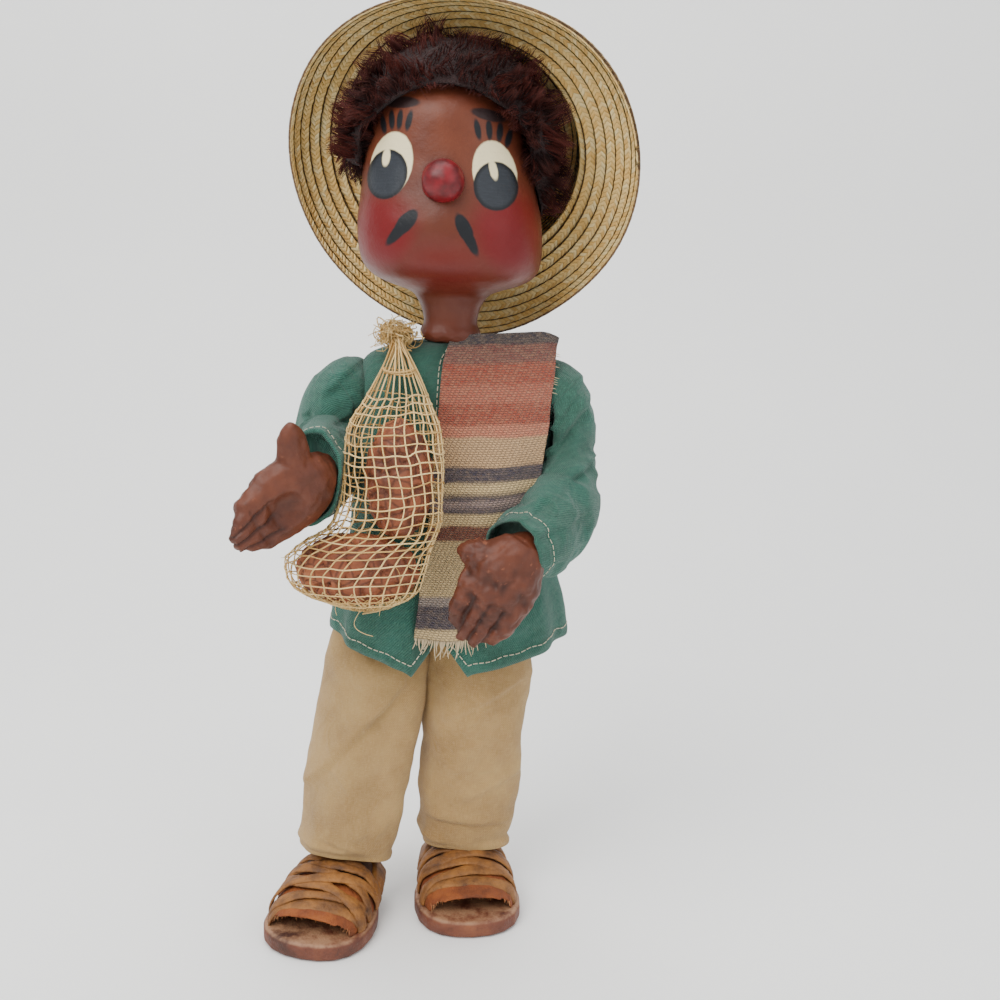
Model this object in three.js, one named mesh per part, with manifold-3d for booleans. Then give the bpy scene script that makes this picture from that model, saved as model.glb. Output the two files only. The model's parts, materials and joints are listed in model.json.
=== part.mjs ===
// A cloth folk doll, 40 cm tall: moulded head and hands, stuffed cloth body, cotton shirt and
// trousers, woven serape, net bag of wares, sewn-braid straw hat and thong sandals.
// Millimetres. X runs to the viewer's right as the doll faces them, Y away from them, Z up.
import * as THREE from 'three';
import { mergeVertices } from 'three/addons/utils/BufferGeometryUtils.js';
import Module from 'manifold-3d';

const wasm = await Module();
wasm.setup();

// Driving dimensions
const GAP = 0.3; // left between pieces that rest on each other
const RUNNING_GAP = 0.8; // left where one piece turns past another
const SOLE_THICK = 7;
const SOLE_WIDE = 48;
const TOE_REACH = 47; // from the leg's middle to the tip of the sole
const HEEL_REACH = 21;
const FOOT_HIGH = 14; // from the sole to the trouser hem
const LEG_LONG = 112; // from the trouser hem to the hip line
const LEG_WIDE = 21; // half the trouser leg's width
const LEG_DEEP = 17.5;
const LEG_CREASE = 1.1; // how deep the trousers' slanting creases are
const HIP_APART = 43; // between the two hip middles
const HIP_MIDDLE_X = -6;
const TORSO_LONG = 125; // from the hip line to the collar
const CHEST_WIDE = 43; // half widths of the shirt
const HEM_WIDE = 52;
const SHIRT_DEEP = 26;
const SHIRT_WALL = 2.2;
const SHIRT_FOLD = 2.4; // how far a fold stands out at the hem
const SHIRT_FOLDS = 6; // round the body
const NECK_LONG = 24;
const NECK_RADIUS = 11;
const DOWEL_RADIUS = 4;
const DOWEL_LONG = 44;
const HEAD_HIGH = 86;
const CHEEK_WIDE = 38.4; // half the head's width at the cheeks
const CROWN_WIDE = 34; // half the head's width at the eyes
const HEAD_DEEP = 39;
const HEAD_BACK = 3; // from the neck's middle back to the head's
const NOSE_RADIUS = 8.5;
const WIG_THICK = 11;
const HAT_RIM = 73; // radius of the brim's edge
const HAT_MOUTH = 47; // radius where brim and crown meet
const BRIM_DEEP = 20;
const CROWN_DEEP = 36;
const BRAID_WIDE = 5.9;
const BRAID_THICK = 1.3;
const BRAID_LAP = 0.6; // how far each row's edge stands proud of the next
const RIGHT_ARM_WIDE = 15; // half the upper sleeve's width, before the chest flattens it
const LEFT_ARM_WIDE = 12.5;
const RIGHT_ARM_OUT = 24; // how far each sleeve stands out from the chest
const LEFT_ARM_OUT = 16.5;
const ARM_DEEP = 16;
const RIGHT_CUFF = 19; // outer radius
const LEFT_CUFF = 14.5;
const RIGHT_UPPER_ARM = 29; // shoulder to elbow: this sleeve is pushed up in folds
const LEFT_UPPER_ARM = 60;
const RIGHT_FOREARM = 48;
const LEFT_FOREARM = 42;
const SLEEVE_WALL = 1.8;
const SLEEVE_CREASE = 1.2;
const WIRE_RADIUS = 1.6;
const WIRE_REACH = 9; // how far the shoulder wire goes into each sleeve
const HAND_LONG = 42;
const HAND_WIDE = 16; // half the palm's width
const HAND_THICK = 8;
const WRIST_RADIUS = 8.2;
const FINGER_RADIUS = 4.8;
const SERAPE_THICK = 2.6;
const SERAPE_WIDE = 45;
const SERAPE_LONG = 131;
const SERAPE_FOLD = 1.2;
const BAG_LONG = 108;
const BAG_WIDE = 31;
const BAG_DEEP = 14;
const NET_THICK = 1.4;
const UPPER_WARES = [13, 10, 24]; // half sizes of what the bag holds
const LOWER_WARES = [25, 11, 14];
const TIE_WIDE = 2.6;
const TIE_THICK = 1.4;
const STRAP_THICK = 1.7;
const STRAP_WIDE = 8;
const LEATHER_THICK = 2.2;

// Places worked out from them
const HEM_Z = SOLE_THICK + FOOT_HIGH;
const HIP_Z = HEM_Z + LEG_LONG;
const COLLAR_Z = HIP_Z + TORSO_LONG;
const CHIN_Z = COLLAR_Z + NECK_LONG;
const SHOULDER_Z = COLLAR_Z - 18;
const ELBOW_LOW = SHOULDER_Z - LEFT_UPPER_ARM - ARM_DEEP; // below the lower elbow
const WAIST_Z = HIP_Z + 25; // where the trousers' seat meets the torso's stuffing
const TORSO_X = 1;
const NECK_PLACE = new THREE.Vector3(-2, -7, COLLAR_Z);
const SIDE = CHEST_WIDE + 0.3; // from the torso's middle to the plane where an arm turns
const KNOT_PLACE = new THREE.Vector3(-22, -14, COLLAR_Z + 1);

// How far each joint turns, degrees
const RIGHT_ELBOW_TURN = 25;
const LEFT_ELBOW_TURN = 35;
const BAG_SWING = 5;

const X_AXIS = new THREE.Vector3(1, 0, 0);
const Z_AXIS = new THREE.Vector3(0, 0, 1);
const TO_VIEWER = new THREE.Vector3(0, -1, 0);

// Solids and their cuts
const vector = (x, y, z) => new THREE.Vector3(x, y, z);
const radians = (degrees) => THREE.MathUtils.degToRad(degrees);

function enclosedVolume(positions, index) {
  const corner = [vector(), vector(), vector()];
  let sum = 0;
  for (let i = 0; i < index.length; i += 3) {
    corner.forEach((point, k) => point.fromArray(positions, 3 * index[i + k]));
    sum += corner[0].dot(corner[1].cross(corner[2]));
  }
  return sum / 6;
}

// A closed skin over rings that have the same number of points, with a fan on each end.
function skin(rings) {
  const sides = rings[0].length;
  const positions = rings.flat().flatMap((point) => point.toArray());
  const ends = [rings[0], rings.at(-1)].map((ring) => {
    const middle = ring.reduce((sum, point) => sum.add(point), vector(0, 0, 0));
    positions.push(...middle.divideScalar(sides).toArray());
    return positions.length / 3 - 1;
  });
  const index = [];
  for (let j = 0; j < sides; j++) {
    const next = (j + 1) % sides;
    const last = (rings.length - 1) * sides;
    index.push(ends[0], next, j, ends[1], last + j, last + next);
    for (let i = 0; i + 1 < rings.length; i++) {
      const low = i * sides;
      const high = low + sides;
      index.push(low + j, low + next, high + next, low + j, high + next, high + j);
    }
  }
  if (enclosedVolume(positions, index) < 0) index.reverse();
  const geometry = new THREE.BufferGeometry();
  geometry.setAttribute('position', new THREE.Float32BufferAttribute(positions, 3));
  geometry.setIndex(index);
  return geometry;
}

// A round form that swells and tapers through stations [x, y, z, half width, half depth].
// grow adds the same thickness all over; square above 2 makes the sections boxier; level keeps
// every section flat instead of square to the path; folds says how far the cloth stands out
// at a turn about the path and a share of its length.
function limb(stations, options = {}) {
  const { sides = 16, steps = 2, grow = 0, front = TO_VIEWER, square = 2, level = false } = options;
  const folds = options.folds ?? (() => 0);
  const path = new THREE.CatmullRomCurve3(stations.map(([x, y, z]) => vector(x, y, z)));
  const sizes = new THREE.CatmullRomCurve3(stations.map((s) => vector(s[3], s[4], 0)));
  const count = (stations.length - 1) * steps;
  const rings = [];
  for (let i = 0; i <= count; i++) {
    const middle = path.getPoint(i / count);
    const along = level ? Z_AXIS : path.getTangent(i / count);
    const size = sizes.getPoint(i / count);
    const across = vector().crossVectors(along, front).normalize();
    const outward = vector().crossVectors(across, along).normalize();
    if (i === 0) middle.addScaledVector(along, -grow);
    if (i === count) middle.addScaledVector(along, grow);
    const ring = [];
    for (let j = 0; j < sides; j++) {
      const turn = (2 * Math.PI * j) / sides;
      const bulge = (value) => Math.sign(value) * Math.abs(value) ** (2 / square);
      const out = grow + folds(turn, i / count);
      const wide = Math.max(size.x + out, 0.4) * bulge(Math.cos(turn));
      const deep = Math.max(size.y + out, 0.4) * bulge(Math.sin(turn));
      ring.push(middle.clone().addScaledVector(across, wide).addScaledVector(outward, deep));
    }
    rings.push(ring);
  }
  return skin(rings);
}

function ball([x, y, z], [rx, ry, rz], sides = 16) {
  const sphere = new THREE.SphereGeometry(1, sides, Math.round(sides * 0.6));
  return sphere.rotateX(Math.PI / 2).scale(rx, ry, rz).translate(x, y, z);
}

// A block between two corners.
function block(low, high) {
  const size = high.map((value, k) => value - low[k]);
  const middle = high.map((value, k) => (value + low[k]) / 2);
  return new THREE.BoxGeometry(...size).translate(...middle);
}

// A prism along Y of an outline [x, z].
function prism(outline, nearY, farY) {
  const shape = new THREE.Shape(outline.map(([x, z]) => new THREE.Vector2(x, z)));
  const bar = new THREE.ExtrudeGeometry(shape, { depth: farY - nearY, bevelEnabled: false });
  return bar.rotateX(Math.PI / 2).translate(0, farY, 0);
}

function turned(geometry, pivot, axis, degrees) {
  const turn = new THREE.Matrix4().makeRotationAxis(axis, radians(degrees));
  const there = new THREE.Matrix4().makeTranslation(pivot.x, pivot.y, pivot.z);
  const back = new THREE.Matrix4().makeTranslation(-pivot.x, -pivot.y, -pivot.z);
  return geometry.clone().applyMatrix4(there.multiply(turn).multiply(back));
}

function toSolid(geometry) {
  const bare = new THREE.BufferGeometry();
  bare.setAttribute('position', geometry.getAttribute('position').clone());
  if (geometry.index) bare.setIndex(geometry.index);
  const closed = mergeVertices(bare, 1e-4);
  const vertProperties = Float32Array.from(closed.getAttribute('position').array);
  const triVerts = Uint32Array.from(closed.index.array);
  return new wasm.Manifold(new wasm.Mesh({ numProp: 3, vertProperties, triVerts }));
}

function toGeometry(solid) {
  const mesh = solid.getMesh();
  const geometry = new THREE.BufferGeometry();
  geometry.setAttribute('position', new THREE.BufferAttribute(mesh.vertProperties, 3));
  geometry.setIndex(new THREE.BufferAttribute(mesh.triVerts, 1));
  return geometry;
}

// The largest piece of the solid that adds, cuts and keeps leave.
function carve(geometry, { add = [], cut = [], keep = [] }) {
  let solid = toSolid(geometry);
  add.forEach((other) => (solid = solid.add(toSolid(other))));
  cut.forEach((other) => (solid = solid.subtract(toSolid(other))));
  keep.forEach((other) => (solid = solid.intersect(toSolid(other))));
  const pieces = solid.decompose().sort((a, b) => b.volume() - a.volume());
  return toGeometry(pieces[0]);
}

// The copies of an obstacle that a piece meets while it turns about a pivot.
function sweep(obstacle, pivot, axis, angles) {
  return angles.map((angle) => turned(obstacle, pivot, axis, -angle));
}

// Finishes
const finish = (color, roughness) => new THREE.MeshStandardMaterial({ color, roughness });
const FINISH = {
  skin: finish('#6f3a24', 0.35),
  nose: finish('#8e2f33', 0.3),
  fur: finish('#38201f', 0.95),
  straw: finish('#d9b873', 0.7),
  shirt: finish('#2f7d68', 0.85),
  wool: finish('#b07a64', 0.95),
  cream: finish('#cfb98b', 0.85),
  stuffing: finish('#d8cdb8', 0.95),
  wood: finish('#b98b57', 0.7),
  wire: finish('#8a8a88', 0.4),
  net: finish('#d8bd86', 0.9),
  wares: finish('#7d4a3c', 0.8),
  sole: finish('#7b4526', 0.75),
  leather: finish('#a5652a', 0.7),
};

const doll = new THREE.Group();

// Each moving part of the doll is a group that stands at its own pivot.
function jointGroup(parent, pivot) {
  const group = new THREE.Group();
  group.userData.pivot = pivot.clone();
  const parentPivot = parent.userData.pivot ?? vector(0, 0, 0);
  group.position.copy(pivot).sub(parentPivot);
  parent.add(group);
  return group;
}

function addPiece(group, name, geometry, material) {
  const mesh = new THREE.Mesh(geometry, material);
  mesh.name = name;
  if (group.userData.pivot) mesh.position.copy(group.userData.pivot).negate();
  group.add(mesh);
  return mesh;
}

// Head and neck

// Half widths and depths of the head from chin to crown, and how its middle wanders.
function headForm(grow = 0) {
  const [cheek, crown, deep, high] = [CHEEK_WIDE, CROWN_WIDE, HEAD_DEEP, HEAD_HIGH];
  const y = NECK_PLACE.y + HEAD_BACK;
  const x = NECK_PLACE.x;
  return limb([
    [x + 0.6, y, CHIN_Z - 0.03 * high, 0.36 * cheek, 0.33 * deep],
    [x + 0.6, y - 1, CHIN_Z + 0.01 * high, 0.63 * cheek, 0.6 * deep],
    [x + 0.2, y - 1, CHIN_Z + 0.06 * high, 0.84 * cheek, 0.82 * deep],
    [x - 0.6, y - 1.5, CHIN_Z + 0.15 * high, 0.96 * cheek, 0.96 * deep],
    [x - 1.3, y - 1.5, CHIN_Z + 0.26 * high, cheek, deep],
    [x - 2.2, y, CHIN_Z + 0.42 * high, 0.5 * (cheek + crown) + 0.4, 0.98 * deep],
    [x - 3.3, y + 2, CHIN_Z + 0.61 * high, crown, 0.95 * deep],
    [x - 3.3, y + 2.5, CHIN_Z + 0.79 * high, 0.9 * crown, 0.89 * deep],
    [x - 3.3, y + 2.5, CHIN_Z + 0.91 * high, 0.73 * crown, 0.72 * deep],
    [x - 3.3, y + 2.5, CHIN_Z + 0.98 * high, 0.42 * crown, 0.42 * deep],
    [x - 3.3, y + 2.5, CHIN_Z + high, 0.06 * crown, 0.06 * deep],
  ], { sides: 20, grow, square: 2.15, level: true });
}

function neckForm(grow = 0) {
  const { x, y } = NECK_PLACE;
  const r = NECK_RADIUS;
  return limb([
    [x, y, COLLAR_Z + GAP, r + 0.6, r + 0.6],
    [x, y, COLLAR_Z + 0.16 * NECK_LONG, r + 1.6, r + 1.6],
    [x, y, COLLAR_Z + 0.34 * NECK_LONG, r + 0.3, r + 0.3],
    [x + 0.3, y, COLLAR_Z + 0.6 * NECK_LONG, r - 0.3, r],
    [x + 0.6, y, COLLAR_Z + 0.84 * NECK_LONG, r + 2.6, r + 2.6],
    [x + 0.6, y, CHIN_Z + 3, r + 7, r + 5],
  ], { sides: 14, grow, level: true });
}

function dowel(grow = 0) {
  const radius = DOWEL_RADIUS + grow;
  const pin = new THREE.CylinderGeometry(radius, radius, DOWEL_LONG + 2 * grow, 16);
  return pin.rotateX(Math.PI / 2).translate(NECK_PLACE.x, NECK_PLACE.y, COLLAR_Z);
}

// Straw hat: rows of flat braid sewn round and round, each lapped on the next, from the crown
// button to the rim. Along the axis, 0 is the rim and the crown lies at larger heights.
function hatCurve() {
  const brim = new THREE.EllipseCurve(HAT_MOUTH, 0, HAT_RIM - HAT_MOUTH, BRIM_DEEP, 0, Math.PI / 2);
  const wall = new THREE.LineCurve(
    new THREE.Vector2(HAT_MOUTH, BRIM_DEEP),
    new THREE.Vector2(HAT_MOUTH - 3, BRIM_DEEP + 0.55 * CROWN_DEEP),
  );
  const domeRadius = HAT_MOUTH - 3;
  const dome = new THREE.EllipseCurve(0, BRIM_DEEP + 0.55 * CROWN_DEEP,
    domeRadius, 0.45 * CROWN_DEEP, 0, Math.PI / 2);
  return { brim, wall, dome };
}

// Points along one stretch, each row ending a braid's thickness proud of the row under it.
function braidRows(stretch, side) {
  const rows = Math.max(1, Math.round(stretch.getLength() / BRAID_WIDE));
  const points = [];
  for (let row = 0; row < rows; row++) {
    for (const [share, lift] of [[0.02, BRAID_LAP], [0.98, 0]]) {
      const u = (row + share) / rows;
      const point = stretch.getPointAt(u);
      const tangent = stretch.getTangentAt(u);
      const away = new THREE.Vector2(tangent.y, -tangent.x).multiplyScalar(side);
      points.push(point.addScaledVector(away, BRAID_THICK / 2 + lift));
    }
  }
  return points;
}

function smoothPoints(stretch, side, count, thickness = BRAID_THICK) {
  const points = [];
  for (let k = 0; k <= count; k++) {
    const u = 0.01 + (0.98 * k) / count;
    const tangent = stretch.getTangentAt(u);
    const away = new THREE.Vector2(tangent.y, -tangent.x).multiplyScalar(side);
    points.push(stretch.getPointAt(u).addScaledVector(away, thickness / 2));
  }
  return points;
}

const HAT_AXIS = vector(-0.17, -0.94, -0.29).normalize(); // out of the opening
const HAT_RIM_MIDDLE = vector(0, NECK_PLACE.y + 5, CHIN_Z + 49);
const OUTSIDE = 1;
const INSIDE = -1;

function placeHat(profile) {
  const lathe = new THREE.LatheGeometry(profile, 22);
  const aim = new THREE.Quaternion().setFromUnitVectors(vector(0, -1, 0), HAT_AXIS);
  return lathe.applyQuaternion(aim).translate(...HAT_RIM_MIDDLE.toArray());
}

function strawHat() {
  const { brim, wall, dome } = hatCurve();
  const outer = [brim, wall].flatMap((stretch) => braidRows(stretch, OUTSIDE));
  outer.push(...braidRows(dome, OUTSIDE));
  const top = BRIM_DEEP + CROWN_DEEP;
  const inner = [...braidRows(brim, INSIDE),
    ...smoothPoints(wall, INSIDE, 1), ...smoothPoints(dome, INSIDE, 4)];
  const profile = [new THREE.Vector2(0, top - BRAID_THICK), ...inner.reverse(),
    ...outer, new THREE.Vector2(0, top + BRAID_THICK)];
  return placeHat(profile);
}

// The space that the hat leaves for what is in it.
function hatSpace() {
  const { brim, wall, dome } = hatCurve();
  const clear = BRAID_THICK + 2 * (BRAID_LAP + GAP);
  const side = [brim, wall, dome].flatMap((stretch) => smoothPoints(stretch, INSIDE, 4, clear));
  const top = BRIM_DEEP + CROWN_DEEP - clear;
  const profile = [new THREE.Vector2(0, -60), new THREE.Vector2(HAT_RIM - 4, -60),
    ...side, new THREE.Vector2(0, top)];
  return placeHat(profile);
}

// Fur wig: a thick cap cut away in front of the hairline and under the ears.
function furWig() {
  const middle = [NECK_PLACE.x - 1.5, NECK_PLACE.y + HEAD_BACK + 8, CHIN_Z + 0.62 * HEAD_HIGH];
  const radii = [CROWN_WIDE + WIG_THICK + 2, HEAD_DEEP + WIG_THICK, 0.42 * HEAD_HIGH + WIG_THICK];
  const cap = ball(middle, radii, 16);
  const hairline = vector(0, NECK_PLACE.y - 33, CHIN_Z + 0.87 * HEAD_HIGH);
  const face = turned(block([-90, -80, -120], [90, 0, 0]).translate(...hairline.toArray()),
    hairline, X_AXIS, 37);
  const nape = vector(0, 0, CHIN_Z + 0.42 * HEAD_HIGH);
  const under = turned(block([-90, -90, -90], [90, 90, 0]).translate(...nape.toArray()),
    nape, vector(0, 1, 0), 13);
  return carve(cap, { cut: [headForm(GAP), face, under], keep: [hatSpace()] });
}

function noseBall(grow = 0) {
  const r = NOSE_RADIUS + grow;
  const faceY = NECK_PLACE.y + HEAD_BACK - 1 - HEAD_DEEP;
  return ball([NECK_PLACE.x - 2.7, faceY - 0.3 * NOSE_RADIUS, CHIN_Z + 0.46 * HEAD_HIGH], [r, r, r], 14);
}

const head = jointGroup(doll, NECK_PLACE);
addPiece(head, 'head_shell', carve(headForm(), { add: [neckForm()], cut: [dowel(GAP)] }), FINISH.skin);
addPiece(head, 'nose_bead', carve(noseBall(), { cut: [headForm(GAP)] }), FINISH.nose);
addPiece(head, 'fur_wig', furWig(), FINISH.fur);
addPiece(head, 'straw_hat', strawHat(), FINISH.straw);

// Torso

// The shirt's folds open towards the hem and die out at the waist.
function shirtFolds(turn, share) {
  const loose = Math.max(0, 1 - share / 0.4);
  return SHIRT_FOLD * loose * Math.max(0, Math.cos(SHIRT_FOLDS * turn));
}

function torsoForm(grow = 0) {
  const [chest, hem, deep] = [CHEST_WIDE, HEM_WIDE, SHIRT_DEEP];
  return limb([
    [TORSO_X, -2, HIP_Z - 34, hem + 2, deep + 5],
    [TORSO_X, -2, HIP_Z - 4, hem, deep + 3],
    [TORSO_X, -2, HIP_Z + 0.1 * TORSO_LONG, hem - 1.5, deep + 2.5],
    [TORSO_X, -2, HIP_Z + 0.24 * TORSO_LONG, chest, deep + 1],
    [TORSO_X, -2, HIP_Z + 0.45 * TORSO_LONG, chest, deep],
    [TORSO_X, -1, HIP_Z + 0.66 * TORSO_LONG, chest, deep - 1],
    [TORSO_X, 0, HIP_Z + 0.84 * TORSO_LONG, chest, deep - 4],
    [TORSO_X, 0, COLLAR_Z - 8, chest - 3, deep - 9],
    [TORSO_X + 1.5, -2, COLLAR_Z - 2.5, 0.68 * chest, deep - 12],
    [TORSO_X, -4, COLLAR_Z, 0.4 * chest, 0.48 * deep],
  ], { sides: 4 * SHIRT_FOLDS, steps: 1, grow, folds: shirtFolds, square: 2.5, level: true });
}

// The hem hangs in two points in front, either side of an opening, and is level behind.
function hemCutters() {
  const sideZ = HIP_Z - 2.5;
  const pointZ = HIP_Z - 18;
  const openZ = HIP_Z - 4;
  const far = HEM_WIDE + 20;
  const low = HIP_Z - 60;
  const front = [
    [-far, low], [-far, sideZ + 3], [TORSO_X - HEM_WIDE, sideZ], [-14, pointZ], [-7, openZ],
    [7, openZ], [11, pointZ + 1], [TORSO_X + HEM_WIDE, sideZ], [far, sideZ + 3], [far, low],
  ];
  return [prism(front, -60, -4), block([-far, -4.5, low], [far, 60, sideZ])];
}

const sideCutters = (gap) => [
  block([TORSO_X - SIDE - 60, -60, ELBOW_LOW], [TORSO_X - SIDE + gap, 60, COLLAR_Z + 40]),
  block([TORSO_X + SIDE - gap, -60, ELBOW_LOW], [TORSO_X + SIDE + 60, 60, COLLAR_Z + 40]),
];

// The space inside the shirt, and at a clearance from it what fills the shirt.
const insideShirt = (clear = 0) => torsoForm(-SHIRT_WALL - clear).translate(0, 0, -1.2 - 2 * clear);

// The shoulder wire runs through the torso and into both sleeves, which turn on it.
function shoulderWire(grow = 0) {
  const long = 2 * (SIDE + WIRE_REACH + grow);
  const rod = new THREE.CylinderGeometry(WIRE_RADIUS + grow, WIRE_RADIUS + grow, long, 12);
  return rod.rotateZ(Math.PI / 2).translate(TORSO_X, 0, SHOULDER_Z);
}

const belowWaist = block([-90, -90, -50], [90, 90, WAIST_Z]);
const torsoCore = carve(insideShirt(2 * GAP), { cut: [belowWaist, dowel(GAP), shoulderWire(GAP)] });
const shirtBody = carve(torsoForm(), {
  cut: [insideShirt(), dowel(GAP), shoulderWire(GAP), ...hemCutters(), ...sideCutters(0.5)],
});
addPiece(doll, 'torso_stuffing', torsoCore, FINISH.stuffing);
addPiece(doll, 'shirt_body', shirtBody, FINISH.shirt);
addPiece(doll, 'neck_dowel', dowel(), FINISH.wood);
addPiece(doll, 'shoulder_wire', shoulderWire(), FINISH.wire);

// Serape: a stiff woven strip that hangs from the left shoulder down the front.
function serapeForm(grow) {
  const wide = CHEST_WIDE + 5;
  return limb([
    [TORSO_X, -2, HIP_Z - 34, wide + 4, SHIRT_DEEP + 5],
    [TORSO_X, -2, HIP_Z - 4, wide + 3, SHIRT_DEEP + 3],
    [TORSO_X, -2, HIP_Z + 0.22 * TORSO_LONG, wide, SHIRT_DEEP + 1.5],
    [TORSO_X, -2, HIP_Z + 0.5 * TORSO_LONG, wide, SHIRT_DEEP + 0.5],
    [TORSO_X, -1, HIP_Z + 0.8 * TORSO_LONG, wide, SHIRT_DEEP - 3],
    [TORSO_X, 0, COLLAR_Z, wide, SHIRT_DEEP - 11],
    [TORSO_X, 0, COLLAR_Z + 14, wide, SHIRT_DEEP - 13],
  ], {
    sides: 32,
    steps: 1,
    grow,
    folds: (turn, share) => SERAPE_FOLD * Math.sin(6 * turn + 3 * share),
    square: 2.9,
    level: true,
  });
}

function serape() {
  const left = TORSO_X - 1.5;
  const right = left + SERAPE_WIDE;
  const top = COLLAR_Z + 6;
  const bottom = top - SERAPE_LONG;
  const outline = [
    [left, top - 3], [left - 3, bottom + 75], [left - 10, bottom + 2], [left + 12, bottom],
    [left + 0.84 * SERAPE_WIDE, bottom + 24], [right - 9, bottom + 62], [right - 2, bottom + 100],
    [right, top],
  ];
  return carve(serapeForm(SERAPE_THICK + GAP), {
    cut: [serapeForm(GAP), torsoForm(GAP), neckForm(RUNNING_GAP), ...sideCutters(0.5)],
    keep: [prism(outline, -60, 4)],
  });
}
addPiece(doll, 'serape', serape(), FINISH.wool);

// Legs and trousers

const legAt = (side, apart, forward, out) => ({
  hip: vector(HIP_MIDDLE_X + side * (HIP_APART / 2), 0, HIP_Z),
  foot: vector(HIP_MIDDLE_X + side * (HIP_APART / 2 + apart), forward, 0),
  out,
});
const LEGS = { right: legAt(-1, 17, -17, 13), left: legAt(1, -5, 5, -9) };
const TROUSER_WALL = 1.8;

// A stuffed trouser leg from the hip's round knuckle to the hem, or beyond the hem.
function legForm({ hip, foot }, { grow = 0, sides = 16, steps = 1, beyond = 0, creased = false } = {}) {
  const hemShare = LEG_LONG / HIP_Z;
  const at = (share, wide, deep) => {
    const middle = hip.clone().lerp(foot, share * hemShare);
    return [middle.x, middle.y, middle.z, wide * LEG_WIDE, deep * LEG_DEEP];
  };
  const stations = [
    at(-0.145, 0.35, 0.3), at(-0.115, 0.68, 0.66), at(0, 0.9, 1), at(0.16, 1, 1), at(0.4, 0.97, 0.96),
    at(0.68, 0.95, 0.95), at(0.93, 1.01, 1.05), at(1 + beyond, 0.97, 1.02),
  ];
  const creases = (turn, share) => {
    const below = THREE.MathUtils.smoothstep(share, 0.3, 0.45);
    return -LEG_CREASE * below * Math.max(0, Math.sin(turn + 15 * share)) ** 2;
  };
  return limb(stations, { sides, steps, grow, folds: creased ? creases : undefined, square: 2.2 });
}

// The trousers' seat, stuffed, inside the shirt, hollowed over the legs' knuckles.
function trousersSeat() {
  const [wide, deep] = [HIP_APART / 2 + LEG_WIDE, LEG_DEEP + 5];
  const x = HIP_MIDDLE_X + 2;
  const form = limb([
    [x, -1, HIP_Z + 7, wide, deep],
    [x, -1, WAIST_Z - GAP, 0.9 * wide, deep],
  ], { sides: 20, steps: 1, square: 2.4, level: true });
  const radius = LEG_DEEP + RUNNING_GAP;
  const knuckles = new THREE.CylinderGeometry(radius, radius, 4 * wide, 32).rotateZ(Math.PI / 2);
  knuckles.translate(0, 0, HIP_Z);
  return carve(form, { cut: [knuckles], keep: [insideShirt(GAP)] });
}
addPiece(doll, 'trousers_seat', trousersSeat(), FINISH.cream);

// Sandals, drawn with the toe towards the viewer and the leg's middle at the origin.
function soleOutline(shrink) {
  const half = SOLE_WIDE / 2 - shrink;
  const heel = 0.74 * half;
  const heelY = HEEL_REACH - shrink - heel;
  const toe = TOE_REACH - shrink;
  const shape = new THREE.Shape();
  shape.moveTo(heel, heelY);
  shape.bezierCurveTo(heel, -4, half, -8, half, -0.5 * toe);
  shape.bezierCurveTo(half, -0.87 * toe, 0.58 * half, -toe, 0, -toe);
  shape.bezierCurveTo(-0.58 * half, -toe, -half, -0.87 * toe, -half, -0.5 * toe);
  shape.bezierCurveTo(-half, -8, -heel, -4, -heel, heelY);
  shape.absarc(0, heelY, heel, Math.PI, 0, true);
  return shape;
}

function sole() {
  const round = 1;
  const depth = SOLE_THICK - 2 * round;
  const bevel = { bevelThickness: round, bevelSize: round, bevelSegments: 1 };
  const slab = new THREE.ExtrudeGeometry(soleOutline(round), { depth, ...bevel, curveSegments: 5 });
  return slab.translate(0, 0, round);
}

// The upper's domed form over the foot.
function upperForm(grow = 0, sides = 16) {
  const half = 0.44 * SOLE_WIDE;
  const z = SOLE_THICK;
  return limb([
    [0, HEEL_REACH - 3, z, 0.5 * half, 0.5 * FOOT_HIGH],
    [0, 0.55 * HEEL_REACH, z, 0.82 * half, 0.98 * FOOT_HIGH],
    [0, 0, z, 0.92 * half, 1.15 * FOOT_HIGH],
    [0, -0.3 * TOE_REACH, z, half, 1.12 * FOOT_HIGH],
    [0, -0.6 * TOE_REACH, z, half, 0.9 * FOOT_HIGH],
    [0, -0.84 * TOE_REACH, z, 0.8 * half, 0.66 * FOOT_HIGH],
  ], { sides, grow, front: Z_AXIS, square: 2.3 });
}

const belowFoot = block([-60, -80, -20], [60, 60, SOLE_THICK + GAP]);
const POCKET_BACK = 0.34 * TOE_REACH; // the foot stops here; in front the sandal is empty

function footBlock() {
  const pocket = block([-60, -80, 0], [60, -POCKET_BACK, 60]);
  return carve(upperForm(-LEATHER_THICK - GAP, 12), { cut: [belowFoot, pocket] });
}

// The leather vamp, open behind over the ankle and in front at the toes.
function vamp() {
  const half = 0.38 * SOLE_WIDE;
  const openToe = limb([
    [0, -POCKET_BACK, SOLE_THICK, half, 0.62 * FOOT_HIGH],
    [0, -0.7 * TOE_REACH, SOLE_THICK, half, 0.6 * FOOT_HIGH],
    [0, -1.2 * TOE_REACH, SOLE_THICK, half, 0.55 * FOOT_HIGH],
  ], { sides: 16, steps: 1, front: Z_AXIS, square: 2.6 });
  const ankle = block([-60, 2, 0], [60, 60, 60]);
  return carve(upperForm(), { cut: [belowFoot, ankle, upperForm(-LEATHER_THICK), openToe] });
}

// A thong over the upper: a slice of a shell round it, turned about its crossing point.
function strap(layer, y, lean) {
  const inner = GAP + layer * (STRAP_THICK + GAP);
  const slice = block([-60, y - STRAP_WIDE / 2, -4], [60, y + STRAP_WIDE / 2, 80]);
  return carve(upperForm(inner + STRAP_THICK), {
    cut: [upperForm(inner), belowFoot],
    keep: [turned(slice, vector(0, y, SOLE_THICK), Z_AXIS, lean)],
  });
}

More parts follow.
